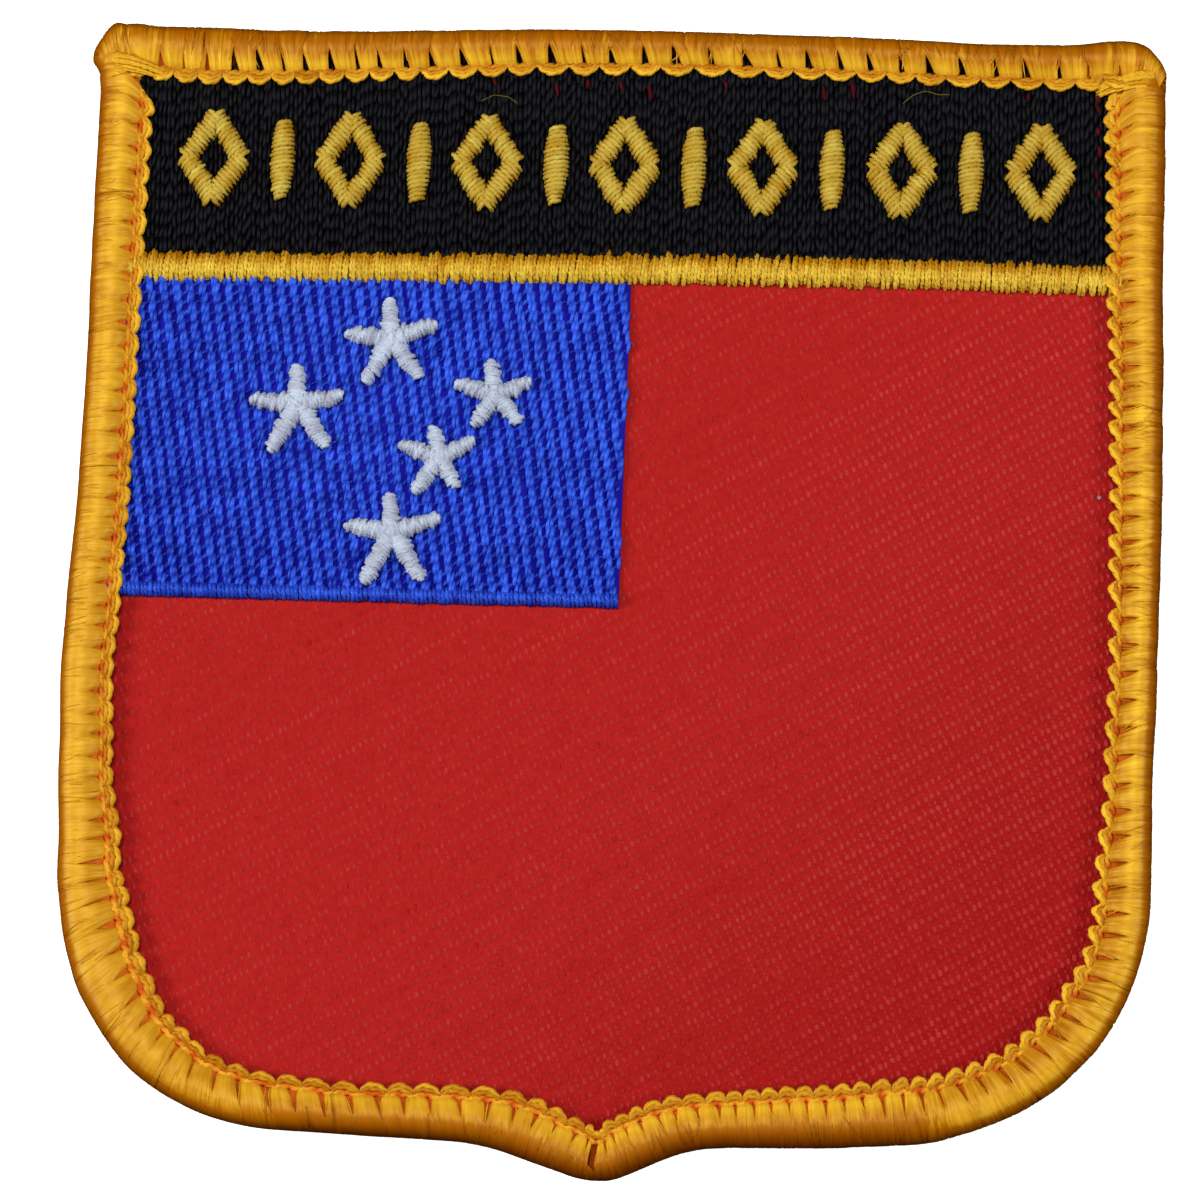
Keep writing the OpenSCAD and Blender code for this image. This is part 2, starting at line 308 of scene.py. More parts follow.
def smooth_steps(table, where):
    """Values of a table's columns after its first, with smooth steps between its rows."""
    rows = np.array(table, float)
    knots, values = rows[:, 0], rows[:, 1:]
    where = np.asarray(where, float)
    i = np.clip(np.searchsorted(knots, where, side="right") - 1, 0, len(knots) - 2)
    f = (where - knots[i]) / (knots[i + 1] - knots[i])
    found = values[i] + (values[i + 1] - values[i]) * wave(np.clip(f, 0, 1))[..., None]
    return found[..., 0] if values.shape[1] == 1 else np.moveaxis(found, -1, 0)


def edge_place(walk, depth, wobbly=True):
    """Places (x, y) at a walk along the edge and a depth inside it."""
    walk, depth = np.broadcast_arrays(np.asarray(walk, float) % WALK, np.asarray(depth, float))
    if wobbly:
        outer, tip, _ = smooth_steps(BEAD_EDGES, walk)
        depth = outer + depth * (tip - outer) / PLAIN_TIP
    right = walk <= HALF_WALK
    v = np.where(right, walk, WALK - walk)
    place = np.zeros(walk.shape + (2,))
    start = 0.0
    for number, (on_stretch, length) in enumerate(STRETCHES):
        last = number == len(STRETCHES) - 1
        reached = (v >= start) & ((v < start + length) | last)
        place[reached] = on_stretch((v[reached] - start) / length, depth[reached])
        start += length
    place[..., 0] *= np.where(right, 1, -1)
    if wobbly:
        place[..., 0] += POINT_SHIFT * np.exp(-((v / SHIFT_WALK) ** 2))
    return place


def bead_place(walk, depth, height):
    """Places (x, y, z) at a walk, a depth and a height."""
    return np.concatenate([edge_place(walk, depth), height[..., None]], -1)


# Meshes

def seeded(name):
    """A random generator of the piece's own, so that one piece never shifts another's numbers."""
    return np.random.default_rng(sum(ord(c) * (i + 1) for i, c in enumerate(name)))


class Shape:
    """Points with their tones, and faces with the threads' coordinates at their corners, for one mesh."""

    def __init__(self):
        self.points, self.tones, self.faces, self.uvs = [], [], [], []
        self.count = 0

    def add(self, points, tones, faces):
        """faces is a list of (corner indices, their UV) pairs of arrays."""
        self.points.append(points.reshape(-1, 3))
        self.tones.append(tones.reshape(-1))
        for corners, uv in faces:
            self.faces.append(corners + self.count)
            self.uvs.append(uv.reshape(-1, 2))
        self.count += len(self.points[-1])

    def piece(self, name, material, slot, *replaced):
        """Makes the mesh's object, declared as a piece on the patch's only body."""
        mesh = bpy.data.meshes.new(name)
        points = np.concatenate(self.points) * MM
        corners = np.concatenate([f.ravel() for f in self.faces])
        sizes = np.concatenate([np.full(len(f), f.shape[1]) for f in self.faces])
        starts = np.concatenate([[0], np.cumsum(sizes)[:-1]])
        mesh.vertices.add(len(points))
        mesh.vertices.foreach_set("co", points.astype(np.float32).ravel())
        mesh.loops.add(len(corners))
        mesh.loops.foreach_set("vertex_index", corners.astype(np.int32))
        mesh.polygons.add(len(sizes))
        mesh.polygons.foreach_set("loop_start", starts.astype(np.int32))
        mesh.polygons.foreach_set("use_smooth", np.ones(len(sizes), bool))
        mesh.update(calc_edges=True)
        uv = mesh.uv_layers.new(name="thread")
        uv.data.foreach_set("uv", np.concatenate(self.uvs).astype(np.float32).ravel())
        tone = mesh.attributes.new("tone", "FLOAT", "POINT")
        tone.data.foreach_set("value", np.concatenate(self.tones).astype(np.float32))
        mesh.materials.append(material)
        obj = add_object(name, mesh)
        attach(obj, "root")
        if replaced:
            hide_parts(*replaced)
        return obj


# How far threads lie apart at random in their UV, along and across, so that their fibres differ.
UV_ALONG = 50
UV_ACROSS = 40


def add_lofts(shape, points, tones, lengths, rng):
    """Closed tubes of points (tubes, stations, sides, 3), with the lengths along them in their UV."""
    count, stations, sides = points.shape[:3]
    seeds = rng.integers(0, UV_ACROSS, count)
    tube, st, c = np.meshgrid(np.arange(count), np.arange(stations - 1), np.arange(sides), indexing="ij")
    corner_st = np.stack([st, st + 1, st + 1, st], -1)
    corner_c = np.stack([c, c, c + 1, c + 1], -1)
    index = (tube[..., None] * stations + corner_st) * sides + corner_c % sides
    across = corner_c / sides + seeds[tube][..., None]
    along = lengths[tube[..., None], corner_st]
    ring = np.arange(sides)
    start = np.arange(count)[:, None] * stations * sides + ring
    end = np.arange(1, count + 1)[:, None] * stations * sides - 1 - ring
    blank = np.zeros((count, sides, 2))
    walls = index.reshape(-1, 4), np.stack([across, along], -1)
    shape.add(points, tones, [walls, (start, blank), (end, blank)])


def unit(v):
    """Vectors scaled to a length of 1."""
    return v / np.maximum(np.linalg.norm(v, axis=-1, keepdims=True), 1e-9)


def run_along(paths):
    """Lengths along paths (paths, stations, 3) from their starts."""
    steps = np.linalg.norm(np.diff(paths, axis=1), axis=-1)
    return np.concatenate([np.zeros((len(paths), 1)), np.cumsum(steps, 1)], 1)


def add_tubes(shape, paths, rings, tones, rng):
    """Closed tubes: paths (tubes, stations, 3) and rings (tubes, stations, sides, 2), sideways and up."""
    along = unit(np.gradient(paths, axis=1))
    side = unit(np.cross(along, UP))
    rise = np.cross(side, along)
    points = paths[:, :, None] + rings[..., :1] * side[:, :, None] + rings[..., 1:] * rise[:, :, None]
    lengths = run_along(paths) + rng.uniform(0, UV_ALONG, (len(paths), 1))
    add_lofts(shape, points, np.broadcast_to(np.asarray(tones)[..., None], points.shape[:3]), lengths, rng)


# Directions of the points of a six-sided section: two on each lobe and one on each side of the waist.
SIX_SIDES = (-32, 32, 90, 148, 212, 270)


def plied_rings(radius, sides, waist, phase=0.0):
    """Sections of a two-ply thread: two lobes, turned by a phase. radius and phase are (tubes, stations)."""
    k = np.radians(SIX_SIDES) if sides == 6 else np.arange(sides) / sides * 2 * np.pi
    lobes = waist + (1 - waist) * np.abs(np.cos(k)) ** 0.7
    turned = k + np.asarray(phase)[..., None]
    return radius[..., None, None] * lobes[:, None] * np.stack([np.cos(turned), np.sin(turned)], -1)


def twist(run, pitch, rng):
    """Phases of twisted threads at lengths along them, each from a start of its own."""
    return run / pitch * 2 * np.pi + rng.uniform(0, 2 * np.pi, (len(run), 1))


def hump(f):
    """Rises from 0 to 1 at the middle share, and falls to 0 again."""
    return np.sin(np.pi * f)


def course_through(knots, stations):
    """A path of so many stations through knots, with its bends eased."""
    knots = np.array(knots)
    at = np.linspace(0, len(knots) - 1, stations)
    path = np.stack([np.interp(at, np.arange(len(knots)), column) for column in knots.T], -1)
    path[1:-1] = (path[:-2] + 2 * path[1:-1] + path[2:]) / 4
    return path


# Materials

def linear(colour):
    """Linear colour of an 8-bit screen colour."""
    scaled = [v / 255 for v in colour]
    return tuple(v / 12.92 if v <= 0.04045 else ((v + 0.055) / 1.055) ** 2.4 for v in scaled) + (1.0,)


def node(tree, kind, links=(), **values):
    """Adds a shader node, sets its properties and sockets, and links sources to its inputs."""
    made = tree.nodes.new(kind)
    for name, value in values.items():
        if hasattr(made, name):
            setattr(made, name, value)
        else:
            made.inputs[name.replace("_", " ")].default_value = value
    for socket, source in links:
        tree.links.new(source, made.inputs[socket])
    return made


def maths(tree, operation, a, b):
    """The result of an operation on two values."""
    return node(tree, "ShaderNodeMath", [(0, a), (1, b)], operation=operation).outputs[0]


def noise(tree, place, amount, **values):
    """Noise at a place, and the same noise spread to both sides of 0 by an amount."""
    made = node(tree, "ShaderNodeTexNoise", [("Vector", place)], **values).outputs["Fac"]
    spread = node(
        tree, "ShaderNodeMapRange", [("Value", made)],
        From_Min=0.3, From_Max=0.7, To_Min=-amount, To_Max=amount,
    )
    return made, spread.outputs["Result"]


def ramp(tree, factor, start, end):
    """A colour that runs from start to end."""
    made = node(tree, "ShaderNodeValToRGB", [("Fac", factor)])
    for element, colour in zip(made.color_ramp.elements, (start, end)):
        element.color = colour
    return made.outputs["Color"]


def new_material(name):
    """A material without nodes, and its tree."""
    material = bpy.data.materials.new(name)
    material.use_nodes = True
    material.node_tree.nodes.clear()
    return material, material.node_tree


def add_shader(tree, links, **values):
    """The shader of a material, joined to its output."""
    shader = node(tree, "ShaderNodeBsdfPrincipled", links, **values)
    node(tree, "ShaderNodeOutputMaterial", [("Surface", shader.outputs["BSDF"])])


FIBRE_HEIGHT = 0.02
FIBRE_STRETCH = (1.0, 0.03, 1.0)
FIBRE_SCALE = 22.0
MOTTLE_SCALE = 900.0


def thread_material(name, dark, light, rim=None, roughness=0.5, sheen=0.0, fibre=0.25, specular=0.4,
                    mottle=0.25, streaks=0.18, gloss=None):
    """Thread whose colour runs from dark to light with its tone, with fine fibres along its length.

    Tones under 0 turn towards the rim colour, a painted shade. Colours are 8-bit screen colours.
    """
    material, tree = new_material(name)
    tone = node(tree, "ShaderNodeAttribute", attribute_name="tone").outputs["Fac"]
    uv = node(tree, "ShaderNodeUVMap", uv_map="thread").outputs["UV"]
    place = node(tree, "ShaderNodeTexCoord").outputs["Object"]
    stretched = node(tree, "ShaderNodeMapping", [("Vector", uv)], Scale=FIBRE_STRETCH).outputs["Vector"]
    fibres, streak = noise(tree, stretched, streaks, Scale=FIBRE_SCALE, Detail=2.0)
    _, cloud = noise(tree, place, mottle, Scale=MOTTLE_SCALE, Detail=2.0)
    total = maths(tree, "ADD", maths(tree, "ADD", tone, cloud), streak)
    colour = ramp(tree, total, linear(dark), linear(light))
    if rim is not None:
        under = node(
            tree, "ShaderNodeMapRange", [("Value", tone)], From_Min=0.0, From_Max=-1.0, To_Min=0.0, To_Max=1.0
        )
        tint = node(tree, "ShaderNodeMix", [(0, under.outputs["Result"]), (6, colour)], data_type="RGBA")
        tint.inputs[7].default_value = linear(rim)
        colour = tint.outputs[2]
    bump = node(tree, "ShaderNodeBump", [("Height", fibres)], Strength=fibre, Distance=FIBRE_HEIGHT * MM)
    add_shader(
        tree, [("Base Color", colour), ("Normal", bump.outputs["Normal"])], Roughness=roughness,
        Specular_IOR_Level=specular, Specular_Tint=linear(gloss or light), Sheen_Weight=sheen,
    )
    return material


# Where the twill's painted shade towards the lower right starts and where it is darkest, in mm of x less y.
GRADE_START = 16.0
GRADE_END = 52.0
SPECK_SCALE = 2600.0


def graded_material(name, left, right):
    """Specked cloth, painted darker towards the patch's lower right as painted shade."""
    material, tree = new_material(name)
    place = node(tree, "ShaderNodeTexCoord").outputs["Object"]
    axes = node(tree, "ShaderNodeSeparateXYZ", [("Vector", place)])
    slope = maths(tree, "SUBTRACT", axes.outputs["X"], axes.outputs["Y"])
    share = node(
        tree, "ShaderNodeMapRange", [("Value", slope)], From_Min=GRADE_START * MM, From_Max=GRADE_END * MM
    )
    _, specks = noise(tree, place, 0.35, Scale=SPECK_SCALE, Detail=3.0)
    total = maths(tree, "ADD", share.outputs["Result"], specks)
    colour = node(tree, "ShaderNodeMix", [(0, total)], data_type="RGBA", clamp_factor=False)
    for socket, value in ((6, left), (7, right)):
        colour.inputs[socket].default_value = linear(value)
    add_shader(tree, [("Base Color", colour.outputs[2])], Roughness=0.8, Specular_IOR_Level=0.1)
    return material


# The rim colour is the painted shade of the bead's outer side.
gold_thread = thread_material(
    "gold_border_thread", (176, 100, 0), (246, 192, 46), rim=(122, 54, 0), roughness=0.4, fibre=0.35,
    specular=0.45, mottle=0.12, streaks=0.08, gloss=(255, 225, 130),
)
# The orange of the gaps between wraps: painted shade of the gold thread.
gap_shade_thread = thread_material(
    "gold_inner_thread", (96, 22, 8), (218, 104, 30), roughness=0.6, fibre=0.4, specular=0.2, mottle=0.2
)
root_thread = thread_material(
    "gold_root_thread", (200, 84, 22), (230, 166, 44), fibre=0.4, specular=0.25, mottle=0.2
)
satin_thread = thread_material(
    "gold_satin_thread", (190, 126, 5), (238, 203, 68), roughness=0.42, fibre=0.4, specular=0.42,
    gloss=(255, 235, 150),
)
motif_thread = thread_material(
    "gold_motif_thread", (172, 124, 6), (210, 188, 82), fibre=0.4, specular=0.3, gloss=(240, 230, 160)
)
blue_thread = thread_material(
    "blue_thread", (14, 24, 146), (54, 96, 232), roughness=0.36, fibre=0.3, specular=0.6,
    gloss=(120, 165, 255),
)
black_thread = thread_material(
    "black_thread", (2, 2, 3), (16, 15, 18), fibre=0.3, specular=0.11, gloss=(230, 230, 255)
)
white_thread = thread_material(
    "white_thread", (160, 160, 180), (198, 211, 227), roughness=0.7, sheen=0.25, fibre=0.6, specular=0.12,
    mottle=0.3,
)
red_cloth = thread_material(
    "red_twill", (156, 19, 17), (189, 60, 58), roughness=0.8, fibre=0.3, specular=0.1, mottle=0.12,
    gloss=(255, 200, 200),
)
red_thread = thread_material("red_thread", (58, 6, 10), (104, 20, 26), roughness=0.6, specular=0.2)
dull_fibre = thread_material("dull_fibre", (96, 84, 24), (140, 126, 50), roughness=0.6, specular=0.2)
shadow_red = graded_material("red_ground", (169, 24, 21), (150, 11, 10))
# The blue underlay's dark blue is painted shade of the holes between strokes.
shadow_blue = thread_material("blue_underlay", (26, 24, 148), (36, 32, 176), roughness=0.7, specular=0.1)
shadow_black = thread_material("black_underlay", (6, 6, 7), (14, 14, 16), roughness=0.8, specular=0.1)


# The border's wraps

# Pitch of the wraps.
WRAP_PITCH = [
    # walk, pitch
    (0.0, 0.98), (4.0, 1.04), (13.0, 1.05), (18.0, 1.2), (22.0, 1.48), (28.0, 1.6), (33.0, 1.62),
    (40.0, 1.5), (48.0, 1.62), (57.0, 1.66), (62.0, 1.45), (66.0, 1.38), (74.0, 1.25), (80.0, 1.38),
    (91.0, 1.42), (95.0, 1.6), (99.0, 2.02), (107.0, 1.84), (114.0, 1.9), (120.0, 2.05),
    (127.0, 1.9), (135.0, 1.86), (139.0, 1.52), (155.0, 1.5), (166.0, 1.6), (175.0, 1.6),
    (180.0, 1.32), (200.0, 1.32), (205.0, 1.26), (209.0, 1.3), (213.0, 1.95), (218.0, 1.9),
    (224.0, 1.5), (229.0, 1.9), (234.0, 1.7), (238.0, 1.6), (243.0, 1.5), (247.0, 1.05),
    (WALK, 0.98),
]


PITCH_JITTER = 0.05
PITCH_SAMPLES = 8000


def spaced_wraps():
    """Walks of the wraps, whose pitch follows the table with some jitter, and their widths."""
    walk = np.linspace(0, WALK, PITCH_SAMPLES)
    density = 1 / smooth_steps(WRAP_PITCH, walk)
    passed = np.concatenate([[0], np.cumsum((density[1:] + density[:-1]) / 2 * np.diff(walk))])
    count = round(passed[-1])
    bounds = np.interp(np.arange(count + 1) / count * passed[-1], passed, walk)
    bounds[1:-1] += seeded("wraps").normal(0, PITCH_JITTER, count - 1) * np.diff(bounds)[:-1]
    return (bounds[1:] + bounds[:-1]) / 2, np.diff(bounds)


wrap_walk, wrap_pitch = spaced_wraps()
WRAPS = len(wrap_walk)

WRAP_PATH = np.array([
    # depth, height, share of the slant
    (2.22, 1.50, -0.60),
    (2.22, 1.76, -0.58),
    (2.10, 2.02, -0.50),
    (1.90, 2.24, -0.38),
    (1.64, 2.42, -0.25),
    (1.38, 2.54, -0.12),
    (1.08, 2.60, 0.00),
    (0.78, 2.56, 0.10),
    (0.50, 2.40, 0.20),
    (0.26, 2.12, 0.28),
    (0.09, 1.72, 0.35),
    (0.02, 1.26, 0.40),
    (0.08, 0.80, 0.45),
    (0.36, 0.34, 0.50),
    (0.90, 0.07, 0.55),
    (1.50, 0.08, 0.60),
    (2.00, 0.24, 0.65),
    (2.22, 0.52, 0.70),
])
WRAP_SIDES = [
    # walk, depth where the gaps start, gap at the foot, slant, height of the core
    (0.0, 1.70, 0.12, 0.10, 0.7),
    (0.5, 1.70, 0.12, 0.10, 1.0),
    (10.0, 1.55, 0.15, 0.25, 1.0),
    (25.0, 1.15, 0.19, 0.30, 0.9),
    (42.0, 1.05, 0.21, 0.16, 0.85),
    (62.0, 1.05, 0.21, 0.12, 0.85),
    (75.0, 1.20, 0.21, 0.12, 0.9),
    (80.0, 1.50, 0.15, 0.12, 0.95),
    (90.0, 1.60, 0.10, 0.05, 1.0),
    (97.0, 1.60, 0.10, 0.05, 0.9),
    (99.5, 1.18, 0.21, 0.05, 0.0),
    (148.5, 1.18, 0.21, 0.05, 0.0),
    (151.0, 1.30, 0.14, 0.05, 0.7),
    (156.0, 1.60, 0.10, 0.05, 1.0),
    (166.0, 1.75, 0.13, 0.20, 1.0),
    (205.0, 1.80, 0.12, 0.25, 1.0),
    (209.0, 1.00, 0.15, 0.42, 1.0),
    (212.5, 1.00, 0.15, 0.42, 1.0),
    (214.5, 1.60, 0.14, 0.40, 1.0),
    (223.0, 1.60, 0.12, 0.35, 1.0),
    (229.0, 0.90, 0.20, 0.48, 0.95),
    (235.0, 0.90, 0.22, 0.48, 0.95),
    (243.0, 1.35, 0.17, 0.35, 0.95),
    (WALK - 1.2, 1.70, 0.12, 0.10, 0.9),
    (WALK - 0.7, 1.70, 0.12, 0.10, 0.6),
    (WALK - 0.1, 1.70, 0.12, 0.10, 0.6),
    (WALK, 1.70, 0.12, 0.10, 0.7),
]
# Painted light and shade across the bead on each side. Its outer side turns away from the light and is
# painted dark, and the side that catches the light is painted bright.
TONE_DEPTHS = np.array([0.1, 0.5, 0.9, 1.4, 1.9, 2.3])
BEAD_LIGHT_AND_SHADE = [
    # walk, tones at the depths above
    (0.0, -1.0, -0.7, -0.2, 0.28, 0.85, 0.6),
    (18.0, -1.0, -0.7, -0.2, 0.28, 0.85, 0.6),
    (24.0, -0.5, 0.5, 0.55, 0.22, 0.28, 0.35),
    (36.0, -0.5, 0.55, 0.6, 0.24, 0.2, 0.35),
    (46.0, -0.7, 0.0, 0.75, 0.52, 0.25, 0.42),
    (76.0, -0.7, 0.0, 0.75, 0.52, 0.25, 0.42),
    (88.0, -0.6, 0.15, 0.55, 0.5, 0.42, 0.45),
    (93.0, -0.6, 0.0, 0.3, 0.4, 0.5, 0.45),
    (98.0, -0.3, -0.15, -0.15, 0.12, 0.75, 0.8),
    (134.0, -0.3, -0.15, -0.15, 0.12, 0.75, 0.8),
    (150.0, -0.4, -0.1, -0.1, 0.1, 0.95, 0.8),
    (156.0, -0.5, 0.0, 0.15, 0.35, 0.65, 0.55),
    (163.0, -0.6, 0.1, 0.5, 0.72, 0.42, 0.5),
    (184.0, -0.6, 0.2, 0.55, 0.6, 0.4, 0.5),
    (206.0, -0.5, 0.4, 0.6, 0.42, 0.35, 0.48),
    (214.0, -0.5, 0.35, 0.55, 0.35, 0.38, 0.42),
    (228.0, -0.7, 0.15, 0.42, 0.35, 0.45, 0.42),
    (234.0, -1.0, -0.4, -0.05, 0.3, 0.7, 0.5),
    (244.0, -1.0, -0.5, -0.1, 0.3, 0.7, 0.5),
    (WALK, -1.0, -0.7, -0.2, 0.28, 0.85, 0.6),
]
# How strongly the filaments of a wrap differ on each side.
FILAMENT_CONTRAST = [
    # walk, share
    (0.0, 0.5), (18.0, 0.55), (26.0, 0.8), (90.0, 0.8), (98.0, 1.0), (155.0, 1.0), (165.0, 0.7),
    (186.0, 0.4), (WALK, 0.4),
]
# Depth of the wraps' feet, how much neighbours overlap, points across a wrap's skin, and how thick it is.
FOOT_DEPTH = 2.2
WRAP_OVERLAP = 0.24
WRAP_SKIN = 26
WRAP_THICK = 0.3
FILAMENT_GROOVE = 0.02
# Places across a wrap's underside, as shares of its width.
WRAP_UNDER = (0.85, 0.15)
# The dark split in the point's wraps, how wide it is as a share of a wrap, and the depths where the wrap's
# overlap ends and where the split starts.
SPLIT_WALK = WALK - 0.35
SPLIT_GAP = 0.62
SPLIT_FROM = 0.2
SPLIT_DEPTH = 0.45
# How much wraps differ at random: in the crest's height, the depth, the gap's share and start, and the slant.
CREST_SPREAD, DEPTH_SPREAD, GAP_SPREAD, START_SPREAD, SLANT_SPREAD = 0.022, 0.012, 0.14, 0.12, 0.05
# How far filaments stray, in filament widths, as a whole and from station to station.
STRAY, STATION_STRAY = 0.28, 0.12
# How much the tones of wraps and filaments differ at random, and how strong the painted highlights of patches
# of filaments are.
WRAP_TONE, FILAMENT_TONE, PATCH_HIGHLIGHT = 0.04, 0.11, 0.08
PATCHES = 6
# How far a wrap's skin rises between its sides, everywhere and on top of that towards the loops.
FLAT_DOME, INNER_DOME = 0.012, 0.09
# The wraps' courses change direction at the top corners, and this much is left free there.
TURN_GAP = 0.001


def path_normals(depth, height):
    """Unit outward directions (inward depth, height) of paths round the bead."""
    go = unit(np.stack([np.gradient(depth, axis=-1), np.gradient(height, axis=-1)], -1))
    return np.stack([go[..., 1], -go[..., 0]], -1)


def painted_bead_light(walk, depth):
    """Painted light and shade of the bead at walks and depths."""
    place = np.clip(depth, TONE_DEPTHS[0], TONE_DEPTHS[-1])
    i = np.clip(np.searchsorted(TONE_DEPTHS, place, side="right") - 1, 0, len(TONE_DEPTHS) - 2)
    f = (place - TONE_DEPTHS[i]) / (TONE_DEPTHS[i + 1] - TONE_DEPTHS[i])
    knots = np.broadcast_to(smooth_steps(BEAD_LIGHT_AND_SHADE, walk), (len(TONE_DEPTHS),) + place.shape)
    low = np.take_along_axis(knots, i[None], 0)[0]
    high = np.take_along_axis(knots, i[None] + 1, 0)[0]
    return low + (high - low) * f


def keep_to_turns(walk):
    """Wraps next to a turn at a top corner reach it, and none spans it."""
    for turn in CORNER_WALKS:
        before = wrap_walk < turn
        walk[before] = np.minimum(walk[before], turn - TURN_GAP)
        walk[~before] = np.maximum(walk[~before], turn + TURN_GAP)
        last = np.flatnonzero(before)[-1]
        for number, reach in ((last, turn - TURN_GAP), (last + 1, turn + TURN_GAP)):
            ends = walk[number].min(-1, keepdims=True), walk[number].max(-1, keepdims=True)
            far, near = ends if number == last else ends[::-1]
            walk[number] = far + (walk[number] - far) * (reach - far) / (near - far)


def add_border():
    """Every wrap as a flat closed tube, with a skin of grooved filaments on its outside."""
    rng = seeded("border")
    shape = Shape()
    depth, height, slant_share = WRAP_PATH.T
    stations = len(WRAP_PATH)

    def unlike(spread, *more):
        return rng.normal(0, spread, (WRAPS, 1) + more)

    contrast = smooth_steps(FILAMENT_CONTRAST, wrap_walk)[:, None]
    z = height + contrast * unlike(CREST_SPREAD) * (height > 1)
    d = depth - contrast * unlike(DEPTH_SPREAD) * (1 - depth / 2.3)
    gap_from, gap, slant, tall = smooth_steps(WRAP_SIDES, wrap_walk)[..., None]
    gap = gap * (1 + unlike(GAP_SPREAD))
    gap_from = gap_from + unlike(START_SPREAD)
    slant = slant + unlike(SLANT_SPREAD)
    # Along the top one side of a gap is square to the edge. Elsewhere both sides lean.
    shared = 0.5 * np.clip(tall / 0.6, 0, 1)
    split = np.argmin(np.abs(wrap_walk + wrap_pitch / 2 - SPLIT_WALK))
    gap[split], gap_from[split], slant[split], shared[split] = SPLIT_GAP, SPLIT_FROM, 0, 0
    opened = np.clip((depth - gap_from) / (FOOT_DEPTH - gap_from), 0, 1) ** 0.9
    opened[split] = np.clip((depth - SPLIT_DEPTH) / 0.3, 0, 1)
    closed = np.clip((gap_from + 0.1 - depth) / 0.5, 0, 1)
    low_edge = -0.5 - WRAP_OVERLAP / 2 * closed + slant * slant_share + shared * gap * opened
    width = 1 + WRAP_OVERLAP * closed - gap * opened
    # Skin points run across the wrap; every second one is sunk between two filaments.
    contrast = contrast[..., None]
    stray = unlike(STRAY, WRAP_SKIN) + rng.normal(0, STATION_STRAY, (WRAPS, stations, WRAP_SKIN))
    stray[..., [0, -1]] = 0
    across = np.arange(WRAP_SKIN) / (WRAP_SKIN - 1) + stray / (WRAP_SKIN - 1)
    groove = FILAMENT_GROOVE * rng.gamma(2.0, 0.5, (WRAPS, 1, WRAP_SKIN)) * contrast
    inner = (np.clip((depth - 1.1) / 0.6, 0, 1) * (height > 0.7))[:, None]
    dome = FLAT_DOME * contrast + INNER_DOME * inner
    side = np.abs(2 * across - 1)
    lift = dome * (1 - side ** 2) - dome * side ** 6 - groove * (np.arange(WRAP_SKIN) % 2 == 0)
    across = np.concatenate([across, np.broadcast_to(WRAP_UNDER, (WRAPS, stations, 2))], -1)
    lift = np.concatenate([lift, np.full((WRAPS, stations, 2), -WRAP_THICK)], -1)
    walk = wrap_pitch[:, None, None] * (low_edge[..., None] + width[..., None] * across)
    walk = wrap_walk[:, None, None] + walk
    keep_to_turns(walk)
    normal = path_normals(d, z)
    places = bead_place(walk, d[..., None] + lift * normal[..., :1], z[..., None] + lift * normal[..., 1:])
    lengths = run_along(places.mean(2)) + rng.uniform(0, UV_ALONG, (WRAPS, 1))
    # Painted light and shade across the bead, by side and depth.
    tones = painted_bead_light(wrap_walk[:, None], depth + 0 * d)[..., None]
    tones = tones + contrast * unlike(WRAP_TONE, 1)
    tones = tones + contrast * unlike(FILAMENT_TONE, WRAP_SKIN + 2)
    # Painted highlights: patches where a few filaments catch the light together, and others that lie darker.
    patches = rng.normal(0, 1, (WRAPS, PATCHES, WRAP_SKIN + 4))
    patches = patches[..., :-2] + patches[..., 1:-1] + patches[..., 2:]
    at = np.linspace(0, PATCHES - 1.001, stations)
    low = at.astype(int)
    share = (at - low)[:, None]
    tones = tones + PATCH_HIGHLIGHT * contrast * (patches[:, low] * (1 - share) + patches[:, low + 1] * share)
    # Painted shade at each wrap's two sides, where it meets its neighbours, stronger towards the loops.
    tones = tones - (0.05 + 0.15 * inner) * np.abs(2 * across - 1) ** 8
    add_lofts(shape, places, tones, lengths, rng)
    shape.piece("border_wraps", gold_thread, "gold_border_thread", "border")


LOOSE_FILAMENTS = 520
LOOSE_R = 0.034
LOOSE_STATIONS = 9


def add_loose_filaments():
    """Single filaments that cross the wraps at their own slants."""
    rng = seeded("loose")

    def each(low, high):
        return rng.uniform(low, high, (LOOSE_FILAMENTS, 1))

    f = np.linspace(0, 1, LOOSE_STATIONS)
    # The rows of the wraps' path where they start and end.
    start = each(1.2, 6.0)
    end = np.minimum(start + each(2.5, 6.0), 10.0)
    at = start + (end - start) * f
    depth, height = (np.interp(at, np.arange(len(WRAP_PATH)), column) for column in WRAP_PATH.T[:2])
    normal = path_normals(depth, height)
    walk = each(0, WALK)
    for turn in CORNER_WALKS:
        walk = np.where(np.abs(walk - turn) < 1, walk - 3, walk)
    contrast = smooth_steps(FILAMENT_CONTRAST, walk)
    # The loose filaments take the bead's painted light and shade, with some random tone of their own.
    tones = painted_bead_light(walk, depth) + contrast * rng.normal(0.06, 0.22, (LOOSE_FILAMENTS, 1))
    slant = smooth_steps(WRAP_SIDES, walk)[2] * 0.7
    walk = walk + (slant + contrast * rng.normal(0, 0.5, (LOOSE_FILAMENTS, 1))) * (f - 0.5)
    lift = each(0.005, 0.03) * hump(f) + 0.005
    paths = bead_place(walk, depth + lift * normal[..., 0], height + lift * normal[..., 1])
    radius = LOOSE_R * (0.6 + 0.4 * hump(f)) * each(0.7, 1.3)
    shape = Shape()
    add_tubes(shape, paths, plied_rings(radius, 4, 0.95), tones, rng)
    shape.piece("loose_filaments", gold_thread, "gold_border_thread")


CORE_SECTION = np.array([
    # depth, height
    (0.38, 0.80),
    (0.42, 1.90),
    (0.80, 2.36),
    (1.10, 2.42),
    (1.45, 2.36),
    (1.80, 2.16),
    (2.10, 1.96),
    (2.25, 1.00),
])
CORE_FOOT = 1.0
CORE_STATIONS = 500


